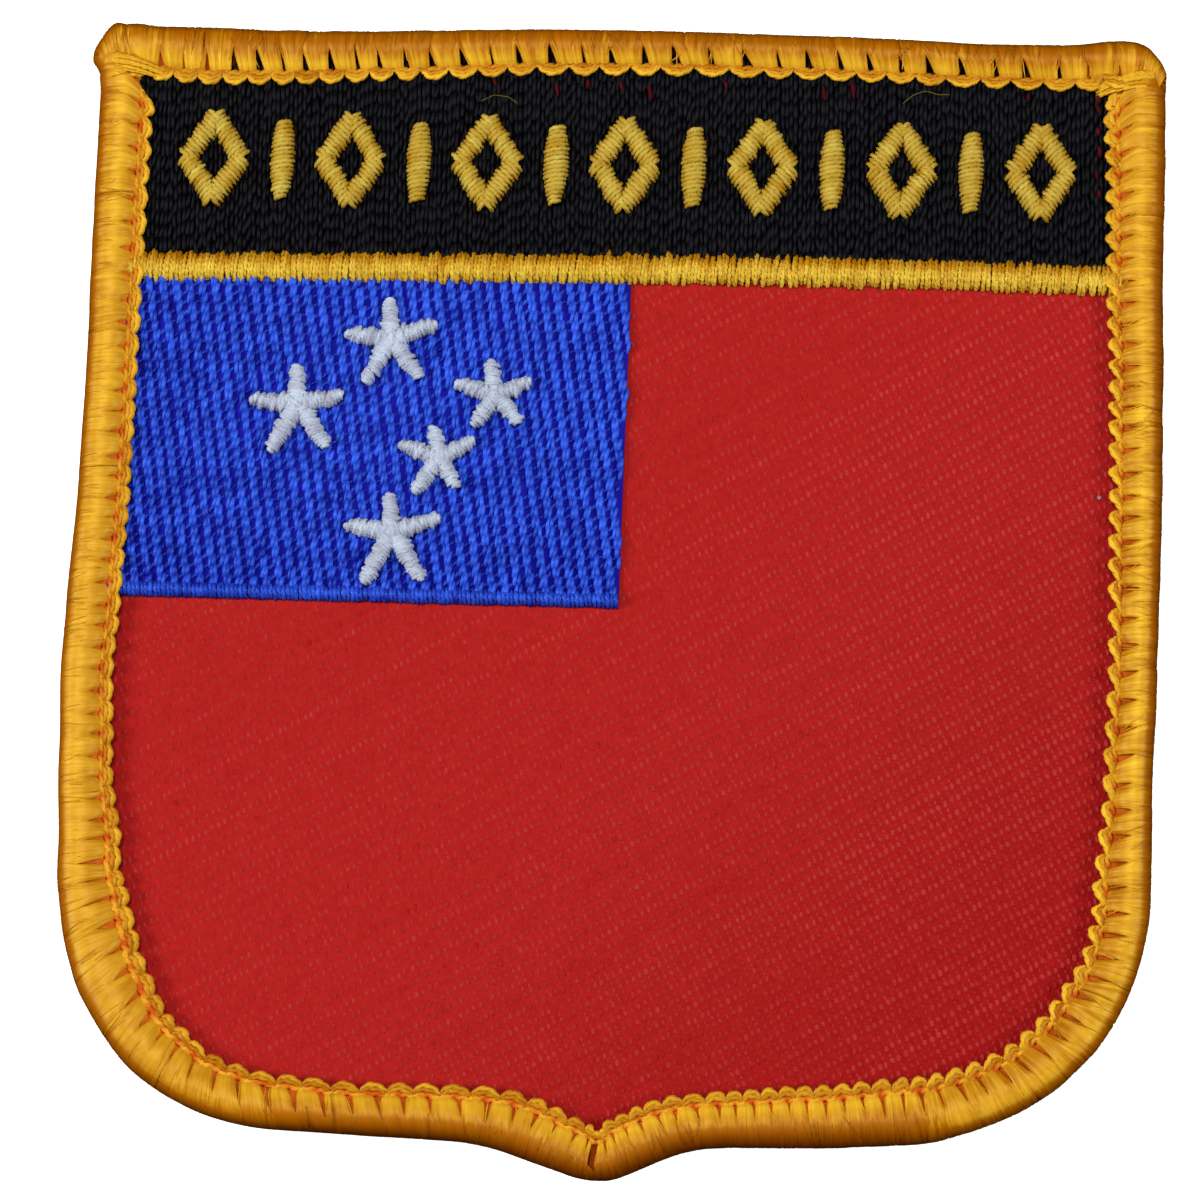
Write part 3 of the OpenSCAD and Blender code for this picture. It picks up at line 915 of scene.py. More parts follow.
def add_core():
    """The inside of the bead, seen through the gaps between wraps, painted orange as the shade in those gaps.
    """
    walk = np.linspace(0, WALK, CORE_STATIONS, endpoint=False)[:, None]
    tall = smooth_steps(WRAP_SIDES, walk)[3]
    depth = CORE_SECTION[:, 0] + 0 * walk
    height = CORE_FOOT + (CORE_SECTION[:, 1] - CORE_FOOT) * (0.45 + 0.55 * tall)
    n, k = depth.shape
    i, j = np.meshgrid(np.arange(n), np.arange(k), indexing="ij")
    here, after, up = i * k, (i + 1) % n * k, (j + 1) % k
    corners = np.stack([here + j, after + j, after + up, here + up], -1)
    uv = np.stack([np.stack([i * 1.0, j * 0.3], -1)] * 4, 2)
    shape = Shape()
    # Painted shade: the core is darker where it lies lower.
    tones = np.broadcast_to(0.85 * tall ** 2, depth.shape)
    shape.add(bead_place(walk, depth, height), tones, [(corners.reshape(-1, 4)[:, ::-1], uv)])
    shape.piece("border_core", gap_shade_thread, "gold_border_thread")


# The looped edge

# Where the loops peak along the walk: 1 is a round arc, and with more they peak late.
LOOP_SKEW = [
    # walk, skew
    (0.0, 1.0), (14.0, 1.0), (22.0, 1.6), (45.0, 2.1), (84.0, 2.1), (92.0, 1.0), (215.0, 1.0),
    (225.0, 0.8), (244.0, 0.8), (WALK, 1.0),
]
LOOP_TWIST = 1.2
LOOP_STRANDS = [
    # radius, depth at the middle, share of the bulge, low, high, overlap
    (0.185, 2.77, 1.00, 1.86, 2.04, 0.02),
    (0.185, 2.56, 0.86, 1.88, 2.00, 0.04),
    (0.240, 2.31, 0.42, 1.92, 1.80, 0.10),
]
# Except along the top, the strand next to the wraps is painted orange at its middle, as painted shade where
# it sinks in a recess by the wraps' feet, and is pale at its ends.
ROOT_SHADE_TONE = 0.05
ROOT_END_TONE = 1.35
# Painted light and shade of the three strands on each side: the strands nearer the wraps are painted darker,
# as they lie in the wraps' shade.
LOOP_LIGHT_TONES = [
    # walk, innermost, middle, next to the wraps
    (0.0, 0.45, 0.2, 0.15),
    (18.0, 0.5, 0.2, 0.1),
    (24.0, 0.7, 0.15, 0.0),
    (46.0, 0.85, 0.3, 0.05),
    (76.0, 0.85, 0.3, 0.1),
    (82.0, 0.65, 0.4, 0.3),
    (97.0, 0.65, 0.4, 0.3),
    (100.0, 0.65, 0.25, 0.15),
    (148.0, 0.7, 0.3, 0.2),
    (153.0, 0.7, 0.45, 0.3),
    (170.0, 0.65, 0.35, 0.3),
    (206.0, 0.45, 0.2, 0.25),
    (218.0, 0.35, 0.1, 0.2),
    (WALK, 0.4, 0.15, 0.15),
]
# How far the loops are lifted or sunk where they run on over the top corners, past the sides' wraps.
OVER_CORNERS = [
    # walk, lift
    (0.0, 0.0), (90.6, 0.0), (91.2, -0.7), (93.6, -0.7), (94.2, 0.5), (95.2, 0.5), (96.4, 0.0),
    (154.4, 0.0), (155.6, 0.5), (156.6, 0.5), (157.2, -0.7), (159.6, -0.7), (160.2, 0.0),
    (WALK, 0.0),
]
LOOP_STATIONS = 15
# Share of the wraps' slant at their feet, where the loops start.
FOOT_SLANT = 0.58


def add_looped_edge():
    """Three twisted strands for each loop, from one wrap's foot to the next."""
    rng = seeded("loops")
    shape, roots = Shape(), Shape()
    off_top = (wrap_walk < CORNER_WALKS[0] - 1) | (wrap_walk > CORNER_WALKS[1] + 1)
    _, gap, slant = smooth_steps(WRAP_SIDES, wrap_walk)[:3]
    foot = (wrap_walk - (FOOT_SLANT * slant + gap / 2) * wrap_pitch)[:, None]
    after = np.roll(foot, -1, 0)
    after[-1] += WALK
    span = after - foot
    outer, tip, bulge_here = smooth_steps(BEAD_EDGES, wrap_walk)[..., None]
    scale = (tip - outer) / PLAIN_TIP
    over_corner = smooth_steps(OVER_CORNERS, foot % WALK)
    f = np.linspace(0, 1, LOOP_STATIONS)
    swell = hump(f ** smooth_steps(LOOP_SKEW, wrap_walk)[:, None]) ** 0.8
    strand_light_tones = smooth_steps(LOOP_LIGHT_TONES, wrap_walk)[..., None]
    each = (WRAPS, 1)
    for number, (radius, middle, share, low, high, overlap) in enumerate(LOOP_STRANDS):
        start = foot - overlap * span + rng.normal(0, 0.02, each)
        end = after + overlap * span + rng.normal(0, 0.02, each)
        bulge = share * bulge_here * (1 + rng.normal(0, 0.07, each))
        low, high = low + over_corner, high + over_corner
        paths = bead_place(
            start + (end - start) * f, middle - bulge + bulge * swell, low + (high - low) * hump(f)
        )
        thick = radius * scale ** 0.7 * (0.65 + 0.35 * hump(f) ** 0.6)
        thick = thick * (1 + rng.normal(0, 0.06, each))
        phase = twist(run_along(paths), LOOP_TWIST, rng)
        # Painted shade: each strand darkens towards its ends, where it tucks in at the wraps' feet.
        tones = strand_light_tones[number] + rng.normal(0, 0.1, each) - 0.3 * np.abs(2 * f - 1) ** 4
        rings = plied_rings(thick, 8, 0.66, phase)
        root = off_top & (number == 2)
        add_tubes(shape, paths[~root], rings[~root], tones[~root], rng)
        if root.any():
            # Painted shade: orange at the root strand's middle, pale at its ends.
            tones = ROOT_SHADE_TONE + (ROOT_END_TONE - ROOT_SHADE_TONE) * np.abs(2 * f - 1) ** 1.1
            tones = tones + rng.normal(0, 0.15, each)
            add_tubes(roots, paths[root], rings[root], tones[root], rng)
    roots.piece("loop_roots", root_thread, "gold_border_thread")
    shape.piece("looped_edge", gold_thread, "gold_border_thread", "purl_edge")


# A few strands that run on from the loops over each top corner, between the top's wraps and the side's.
CORNER_STRANDS = 9
CORNER_STATIONS = 19
CORNER_STRAND_R = 0.13
# Half the width over which they lie side by side.
CORNER_BAND = 0.42
CORNER_COURSE = [
    # x, y, height, on the right
    (28.3, 31.30, 1.95),
    (29.3, 31.62, 2.40),
    (30.4, 31.88, 2.72),
    (31.3, 32.02, 2.66),
    (32.0, 32.12, 2.20),
    (32.38, 32.18, 1.60),
    (32.45, 32.20, 1.05),
]


def add_corner_strands():
    rng = seeded("corner strands")
    shape = Shape()
    middle = course_through(CORNER_COURSE, CORNER_STATIONS)
    share = np.linspace(0, 1, CORNER_STATIONS)
    each = (CORNER_STRANDS, 1)
    for side in (1, -1):
        beside = np.linspace(-CORNER_BAND, CORNER_BAND, CORNER_STRANDS)[:, None] + rng.normal(0, 0.05, each)
        paths = np.repeat(middle[None], CORNER_STRANDS, 0)
        paths[..., 1] += beside * (0.75 + 0.5 * share) + rng.normal(0, 0.12, each) * hump(share)
        paths[..., 2] -= 0.9 * beside ** 2 + rng.uniform(0, 0.08, each)
        paths[..., 0] *= side
        radius = CORNER_STRAND_R * rng.uniform(0.85, 1.15, each) * (0.6 + 0.4 * hump(share) ** 0.5)
        phase = twist(run_along(paths), LOOP_TWIST, rng)
        # Painted shade: the strands darken over their last part, where they turn down the outer side.
        tones = 0.6 + rng.normal(0, 0.15, each) - 1.2 * np.clip(share - 0.7, 0, 1) / 0.3
        add_tubes(shape, paths, plied_rings(radius, 8, 0.75, phase), tones, rng)
    shape.piece("corner_strands", gold_thread, "gold_border_thread")


# Fill embroidery

# Pitch of the columns, their lean to the left, pitch of the strokes along them, how far apart a column's two
# strokes lie, their length, radius and slant, how freely the rows shift, and how far the ends dip.
FillLook = namedtuple("FillLook", "pitch lean row apart length radius slant loose dip")
BLUE_FILL = FillLook(0.80, math.radians(10.2), 0.60, 0.20, 0.86, 0.145, math.radians(7), 0.04, 0.17)
BLACK_FILL = FillLook(0.54, math.radians(1.5), 0.86, 0.27, 1.05, 0.145, math.radians(2), 1.0, 0.08)
# Heights over the field's base, tones, and the bridges' length, radius and slant. The bridges' low tone is
# painted shade, as they lie low in the gaps between columns.
FILL_RISE = 0.17
FILL_TONE = 0.57
BRIDGE_RISE = 0.08
BRIDGE_SHADE_TONE = 0.12
BRIDGE_L = 0.52
BRIDGE_R = 0.12
BRIDGE_SLANT = math.radians(38)
# Share of the cells that have no bridge.
BRIDGE_MISSES = 0.12
STROKE_SHARES = np.array([0.0, 0.15, 0.5, 0.85, 1.0])
BRIDGE_SHARES = np.array([0.0, 0.3, 0.7, 1.0])


def fill_grid(look, low, high, sides):
    """The columns' lean, and the numbers of the column, row and side of every stroke."""
    lean = math.tan(look.lean)
    columns = int((high[0] - low[0] + (high[1] - low[1]) * lean) / look.pitch) + 2
    rows = int((high[1] - low[1]) / look.row) + 3
    return lean, np.meshgrid(np.arange(columns), np.arange(rows), *sides, indexing="ij")


def stroke_paths(x, y, z, slant, length, shares):
    """Straight strokes around places (x, y), at slants to the right of +Y."""
    go = np.stack([np.sin(slant), np.cos(slant)], -1) * length
    flat = np.stack([x, y], -1)[:, None] + go[:, None] * (shares[:, None] - 0.5)
    return np.concatenate([flat, np.broadcast_to(z, flat.shape[:2])[..., None]], -1)


def add_fill(shape, low, high, rng, look, top_of=None):
    """Columns of short strokes of thread, two abreast, which leave dark holes between the columns.

    low and high are the field's corners. top_of gives the upper end at an x where it isn't level.
    """
    lean, (column, row, side) = fill_grid(look, low, high, [[-0.5, 0.5]])
    columns = len(column)
    shift = rng.normal(0, look.loose, (columns, 1, 2)) % 1.0 + 0.12 * np.sin(column / 7.0)
    y = low[1] + (row - 1 + shift) * look.row + rng.normal(0, 0.03, column.shape)
    x = low[0] + (column + 0.3) * look.pitch - (y - low[1]) * lean + side * look.apart
    x += rng.normal(0, 0.02, (columns, 1, 1)) + rng.normal(0, 0.02, column.shape)
    kept = (x > low[0] + 0.1) & (x < high[0] - 0.14 + rng.uniform(-0.1, 0.1, x.shape))
    kept &= (y > low[1]) & (y < high[1])
    if top_of is not None:
        kept &= y < top_of(x)
    x, y = x[kept], y[kept]
    count = len(x)
    bow = 2 * STROKE_SHARES - 1
    length = look.length * (1 + rng.normal(0, 0.08, count))
    slant = look.slant + rng.normal(0, math.radians(5), count)
    z = FIELD_BASE + FILL_RISE + rng.normal(0, 0.022, (count, 1)) - look.dip * bow ** 2
    radius = look.radius * (1 + rng.normal(0, 0.07, count))[:, None] * (0.4 + 0.6 * (1 - bow ** 4) ** 0.5)
    # Painted light: fills are painted a little brighter towards the right and the top.
    painted_light = 0.16 * (x - low[0]) / (high[0] - low[0]) + 0.10 * (y - low[1]) / (high[1] - low[1])
    # Painted shade: strokes darken towards their ends, where they dip into the holes.
    tones = FILL_TONE + painted_light[:, None] + rng.normal(0, 0.14, (count, 1)) - 0.45 * bow ** 2
    rings = plied_rings(radius, 5, 0.92, rng.uniform(0, np.pi, (count, 1)))
    add_tubes(shape, stroke_paths(x, y, z, slant, length[:, None], STROKE_SHARES), rings, tones, rng)


def add_bridges(shape, low, high, rng, look):
    """One thin stroke a cell across the gap between columns, which leaves a dark hole under and over it."""
    lean, (column, row) = fill_grid(look, low, high, [])
    y = low[1] + (row - 0.5 + 0.12 * np.sin(column / 7.0)) * look.row + rng.normal(0, 0.05, column.shape)
    x = low[0] + (column + 0.8) * look.pitch - (y - low[1]) * lean + rng.normal(0, 0.03, column.shape)
    kept = (x > low[0] + 0.3) & (x < high[0] - 0.3) & (y > low[1]) & (y < high[1] - 0.1)
    kept &= rng.uniform(0, 1, x.shape) > BRIDGE_MISSES
    x, y = x[kept], y[kept]
    each = (len(x), 1)
    bow = 2 * BRIDGE_SHARES - 1
    slant = BRIDGE_SLANT + rng.normal(0, math.radians(8), len(x))
    length = BRIDGE_L * rng.uniform(0.9, 1.1, each)
    z = FIELD_BASE + BRIDGE_RISE + rng.normal(0, 0.02, each)
    radius = BRIDGE_R * rng.uniform(0.85, 1.1, each) * (0.5 + 0.5 * (1 - bow ** 4) ** 0.5)
    # Painted shade: bridges are dark, low in the gaps between columns.
    tones = BRIDGE_SHADE_TONE + rng.normal(0, 0.15, each)
    paths = stroke_paths(x, y, z, slant, length, BRIDGE_SHARES)
    add_tubes(shape, paths, plied_rings(radius, 4, 0.95), tones, rng)


def add_underlay(name, material, slot, low, high):
    """A plain box under a field's strokes. low and high are its corners (x, y)."""
    (x0, y0), (x1, y1) = low[:2], high[:2]
    heights = FIELD_BASE - 0.08, FIELD_BASE + 0.06
    corners = np.array([(x, y, z) for z in heights for x, y in ((x0, y0), (x1, y0), (x1, y1), (x0, y1))])
    quads = np.array([(3, 2, 1, 0), (4, 5, 6, 7), (0, 1, 5, 4), (1, 2, 6, 5), (2, 3, 7, 6), (3, 0, 4, 7)])
    shape = Shape()
    shape.add(corners, np.full(8, 0.5), [(quads, np.zeros((6, 4, 2)))])
    shape.piece(name, material, slot)


# How far the fields run on under the border's loops.
FIELD_EDGE = 0.75


def add_canton():
    rng = seeded("canton")
    low = np.array([CANTON_LOW[0] - FIELD_EDGE, HEM_LOW[1] + 0.35])
    high = np.array([CANTON_HIGH[0], CANTON_HIGH[1] - 0.1])
    fill, bridges = Shape(), Shape()
    add_fill(fill, low, high, rng, BLUE_FILL)
    fill.piece("canton_fill", blue_thread, "blue_thread", "canton")
    add_bridges(bridges, low, high, rng, BLUE_FILL)
    bridges.piece("canton_bridges", blue_thread, "blue_thread")
    add_underlay("canton_underlay", shadow_blue, "blue_thread", low + [0, 0.1], high + [-0.12, 0.2])


def title_top(x):
    """The upper end of the black field, tucked under the looped edge and the wraps."""
    share = np.clip(np.abs(x) / (SIDE_X - TOP_CORNER_R), 0, 1)
    return TOP_Y - top_fall(share) - 1.3


def add_title():
    shape = Shape()
    low = np.array([TITLE_LOW[0] - FIELD_EDGE, TITLE_LOW[1] - 0.65])
    high = np.array([TITLE_HIGH[0] + FIELD_EDGE, TOP_Y])
    add_fill(shape, low, high, seeded("title"), BLACK_FILL, title_top)
    shape.piece("title_fill", black_thread, "black_thread", "title_field")
    add_underlay("title_underlay", shadow_black, "black_thread", low, high - [0, 1.5])


# Satin embroidery

THREAD_TWIST = 0.9
STITCH_SHARES = np.array([0.0, 0.05, 0.16, 0.33, 0.5, 0.67, 0.84, 0.95, 1.0])
# A stitch's rise from the cloth to its crown, its radius and tone, how thin its waist is, how much the crowns
# differ, and how much darker a stitch is painted at its end than at its start, as painted shade on the half
# that turns from the light.
SatinLook = namedtuple("SatinLook", "crown radius tone waist uneven fall", defaults=(0.62, 0.75, 0.08, 0.0))
BAR_SATIN = SatinLook(0.62, 0.18, tone=0.8, waist=0.8, uneven=0.03, fall=0.65)
HEM_SATIN = SatinLook(0.45, 0.17)
MOTIF_SATIN = SatinLook(0.55, 0.20, tone=0.52, waist=0.7, uneven=0.04)
STAR_SATIN = SatinLook(0.48, 0.19)


def add_stitches(shape, starts, ends, base, look, rng, lift=0.0):
    """Satin stitches between pairs of places (x, y), arching from the cloth up to a crown."""
    f = STITCH_SHARES
    each = (len(starts), 1)
    flat = starts[:, None] + (ends - starts)[:, None] * f[:, None]
    crowns = (look.crown + lift) * (1 + rng.normal(0, look.uneven, each))
    z = base + crowns * hump(f) ** 0.55 - look.radius * 0.9
    thick = look.radius * (0.5 + 0.5 * hump(f) ** 0.3) * (1 + rng.normal(0, 0.06, each))
    paths = np.concatenate([flat, z[..., None]], -1)
    phase = twist(np.linalg.norm(ends - starts, axis=-1)[:, None] * f, THREAD_TWIST, rng)
    rings = plied_rings(thick, 6, look.waist, phase)
    # Painted shade: stitches darken towards both ends, where they sink into the cloth.
    tones = look.tone + rng.normal(0, 0.1, each) - 0.4 * np.abs(2 * f - 1) ** 3
    # Painted shade on a stitch's end half, by its fall.
    tones = tones - look.fall * wave(np.clip(2 * f - 0.5, 0, 1))
    add_tubes(shape, paths, rings, tones, rng)


BAR_STITCH = 0.2
BAR_SLIT_X = 22.4
BAR_LEAN = 0.06
# The real bar runs a little lower towards its ends.
BAR_SAG = [
    # x, rise
    (-34.0, -0.50), (-27.0, -0.42), (-20.0, -0.33), (-12.0, -0.20), (-4.0, -0.12), (0.0, 0.00),
    (8.0, 0.06), (18.0, 0.04), (25.0, -0.04), (34.0, -0.25),
]


def stitch_row(start, end, pitch, jitter, rng):
    """How many stitches a row has, and their places along it."""
    count = int((end - start) / pitch)
    return count, start + (np.arange(count) + 0.5) * pitch + rng.normal(0, jitter, count)


def add_bar():
    rng = seeded("bar")
    shape = Shape()
    count, x = stitch_row(BAR_LOW[0] - FIELD_EDGE, BAR_HIGH[0] + FIELD_EDGE, BAR_STITCH, 0.02, rng)
    # One slit, where neighbouring stitches draw apart at their lower ends.
    off = x - BAR_SLIT_X
    drawn = 0.14 * np.sign(off) * np.exp(-np.abs(off) / 0.25)
    lean = BAR_LEAN + rng.normal(0, 0.05, count)
    sag = smooth_steps(BAR_SAG, x)
    low_y = BAR_LOW[1] - 0.05 + rng.normal(0, 0.07, count) + 0.1 * (np.arange(count) % 2) + sag
    high_y = BAR_HIGH[1] + 0.02 + rng.normal(0, 0.09, count) + sag
    starts, ends = np.stack([x - lean + drawn, low_y], -1), np.stack([x + lean, high_y], -1)
    add_stitches(shape, starts, ends, FIELD_BASE, BAR_SATIN, rng)
    shape.piece("divider_satin", satin_thread, "gold_satin_thread", "divider_bar")


HEM_STITCH = 0.26
HEM_LEAN = -0.05


def add_hem():
    rng = seeded("hem")
    shape = Shape()
    count, x = stitch_row(HEM_LOW[0] - FIELD_EDGE, HEM_HIGH[0], HEM_STITCH, 0.015, rng)
    low_y = HEM_LOW[1] + rng.normal(0, 0.03, count)
    high_y = HEM_HIGH[1] + 0.15 + rng.normal(0, 0.05, count)
    starts, ends = np.stack([x - HEM_LEAN, low_y], -1), np.stack([x + HEM_LEAN, high_y], -1)
    add_stitches(shape, starts, ends, FIELD_BASE, HEM_SATIN, rng)
    shape.piece("canton_hem_satin", blue_thread, "blue_thread", "canton_hem")


ORNAMENT_STITCH = 0.27


def stroke_stitches(a, b, width_a, width_b, slant, rng, pitch, overrun=0.0, jag=0.05, round_end=0.0):
    """Stitch ends across a stroke from a to b, at a slant from square."""
    along = b - a
    length = np.linalg.norm(along)
    along = along / length
    square = np.array([-along[1], along[0]])
    count = max(int(round((length + 2 * overrun) / pitch)), 2)
    s = -overrun + (np.arange(count) + 0.5) * (length + 2 * overrun) / count
    width = width_a + (width_b - width_a) * np.clip(s / length, 0, 1)
    if round_end:
        beyond = np.clip((s - length + round_end) / round_end, 0, 0.95)
        width = width * np.sqrt(1 - beyond ** 2)
    half = width / 2 * (1 + rng.normal(0, 0.05, count))
    tilt = slant * (1 + rng.normal(0, 0.1, count)) * half
    middle = a + s[:, None] * along
    reach = half[:, None] * square + tilt[:, None] * along
    jag = rng.normal(0, jag, (2, count, 1)) * square
    return middle + reach + jag[0], middle - reach + jag[1]


LOZENGES = 7
LOZENGE_STROKE = 1.15
# The stitches' slant turns about from one side of a lozenge to the next, and every second side lies higher.
SIDE_SLANT = 0.25
SIDE_LIFT = 0.03
SIDE_OVERRUN = 0.12
SPINDLES = 6
SPINDLE_TILT = 0.12
# Half the width of a spindle at its ends, and how much more it is at the middle.
SPINDLE_END = 0.3
SPINDLE_SWELL = 0.4
# How far the motifs' stitches start below the motifs' undersides.
MOTIF_SINK = 0.05
STAR_SINK = 0.08


def add_lozenge(number):
    rng = seeded(f"lozenge {number}")
    node_name = f"lozenge_{number}"
    low, high = node_box(node_name)
    centre = (low[:2] + high[:2]) / 2
    half = (high[:2] - low[:2]) / 2
    inset = LOZENGE_STROKE / 2 * math.hypot(*half) / (half[0] * half[1])
    corners = centre + half * (1 - inset) * np.array([(1, 0), (0, 1), (-1, 0), (0, -1)])
    shape = Shape()
    for i in range(4):
        second = i % 2
        left, right = stroke_stitches(
            corners[i], corners[(i + 1) % 4], LOZENGE_STROKE, LOZENGE_STROKE,
            SIDE_SLANT if second else -SIDE_SLANT, rng, ORNAMENT_STITCH, SIDE_OVERRUN,
        )
        add_stitches(shape, left, right, MOTIF_BASE - MOTIF_SINK, MOTIF_SATIN, rng, SIDE_LIFT * second)
    shape.piece(f"{node_name}_satin", motif_thread, "gold_satin_thread", node_name)


def add_spindle(number):
    rng = seeded(f"spindle {number}")
    node_name = f"spindle_{number}"
    low, high = node_box(node_name)
    x = (low[0] + high[0]) / 2
    y = np.arange(low[1] + 0.1, high[1] - 0.05, ORNAMENT_STITCH)
    share = (y - low[1]) / (high[1] - low[1])
    half = (SPINDLE_END + SPINDLE_SWELL * hump(share) ** 0.8) + rng.normal(0, 0.03, len(y))
    left = np.stack([x - half, y - SPINDLE_TILT], -1)
    right = np.stack([x + half, y + SPINDLE_TILT], -1)
    shape = Shape()
    add_stitches(shape, left, right, MOTIF_BASE - MOTIF_SINK, MOTIF_SATIN, rng)
    shape.piece(f"{node_name}_satin", motif_thread, "gold_satin_thread", node_name)


STARS = [
    # x, y, then each arm's reach and heading: head, left, left leg, right leg, right
    (-13.76, 15.11, [(2.58, 93), (2.81, 174), (3.22, 242), (3.15, 309), (3.05, 19)]),
    (-19.22, 11.00, [(2.41, 94), (2.93, 176), (3.49, 243), (3.39, 305), (2.92, 11)]),
    (-7.25, 11.77, [(2.25, 99), (2.59, 163), (2.44, 236), (2.40, 312), (2.43, 23)]),
    (-10.49, 7.90, [(2.00, 101), (2.59, 163), (2.74, 238), (2.30, 302), (2.49, 27)]),
    (-13.11, 3.23, [(2.47, 96), (2.97, 172), (3.62, 243), (3.59, 304), (3.11, 18)]),
]
STAR_STITCH = 0.19
# Widths of an arm at its tip and at the middle of a star of the plain reach.
ARM_ROOT = 1.2
ARM_TIP = 0.66
PLAIN_REACH = 3.4


def add_star(number, x, y, arms):
    rng = seeded(f"star {number}")
    shape = Shape()
    centre = np.array([x, y])
    root = ARM_ROOT * (max(reach for reach, _ in arms) / PLAIN_REACH) ** 0.5
    for order, (reach, degrees) in enumerate(arms):
        tip = centre + ahead(math.radians(degrees)) * (reach - 0.12)
        left, right = stroke_stitches(
            centre, tip, root, ARM_TIP, 0.25, rng, STAR_STITCH, jag=0.06, round_end=0.4
        )
        add_stitches(shape, left, right, MOTIF_BASE - STAR_SINK, STAR_SATIN, rng, 0.04 * (order % 3))
    shape.piece(f"star_{number}_satin", white_thread, "white_thread", f"star_{number}")


# The ground cloth and its twill weave

CLOTH_DEPTH = 0.7
CLOTH_TOP = CLOTH_HIGH[2] - 0.08
WARP_PITCH = 0.375
PICK = 0.2275
FLOAT_REPEAT = 4 * PICK
FLOAT_L = 0.56
FLOAT_W = 0.39
# The ribs' floats, and fainter ones between the ribs.
FLOAT_SETS = [
    # shift in x, shift in y, share of the size, change of tone
    (0.00, 0.00, 1.00, 0.00),
    (0.20, 0.54, 0.60, -0.12),
]
# How clearly the weave stands out, from the left to the right.
WEAVE_CLARITY = [
    # x, share
    (-SIDE_X, 0.25), (-6.0, 0.20), (10.0, 0.45), (18.0, 1.00), (SIDE_X, 1.00),
]
FLOAT_LEAN = -0.08
# One float, in halves of its width and length: a ring on the cloth, a ridge of two points, and its faces.
FLOAT_RING = [(0, -1), (1, -0.45), (1, 0.45), (0, 1), (-1, 0.45), (-1, -0.45)]
FLOAT_RIDGE = [(0, -0.4), (0, 0.4)]
FLOAT_FACES = [
    [(1, 2, 7, 6), (4, 5, 6, 7)],
    [(0, 1, 6), (5, 0, 6), (2, 3, 7), (3, 4, 7)],
    [(5, 4, 3, 2, 1, 0)],
]
# The ridge's rise at the upper left, and how much more it is at the lower right.
FLOAT_RISE, MORE_RISE = 0.022, 0.018
# Tones of the floats: of all, of a clear weave's, a ridge's painted highlight, and their painted shade to the
# lower right.
CLOTH_TONE, WEAVE_TONE, RIDGE_HIGHLIGHT, GRADE_SHADE_TONE = 0.32, 0.22, 0.06, 0.20
TONE_SPREAD = 0.06
RIB_TONE_SPREAD = 0.07
RIB_RISE = PICK / WARP_PITCH
SHEET_STATIONS = 260
# The floats reach this far under the border.
RIM_DEPTH = 2.1
RIM_STATIONS = 1500


def add_ground_sheet():
    """The cloth itself: a flat closed sheet of the shield's shape."""
    walk = np.linspace(0, WALK, SHEET_STATIONS, endpoint=False)
    ring = edge_place(walk, CLOTH_DEPTH, wobbly=False)
    inner = edge_place(walk, CLOTH_DEPTH + 0.3, wobbly=False)
    levels = [
        # ring, height
        (inner, CLOTH_LOW[2]),
        (ring, CLOTH_LOW[2] + 0.1),
        (ring, CLOTH_TOP - 0.1),
        (inner, CLOTH_TOP),
    ]
    n = len(ring)
    points = np.concatenate([np.column_stack([r, np.full(n, z)]) for r, z in levels])
    i = np.arange(n)
    after = (i + 1) % n
    walls = np.concatenate(
        [np.stack([i + k * n, after + k * n, after + (k + 1) * n, i + (k + 1) * n], -1) for k in range(3)]
    )
    shape = Shape()
    flat = points[..., :2]
    faces = [(walls, flat[walls]), (i[None, ::-1], flat[i[None, ::-1]]), (i[None] + 3 * n, flat[i[None]])]
    shape.add(points, np.full(len(points), 0.2), faces)
    return shape.piece("ground_sheet", shadow_red, "red_twill", "ground_cloth")


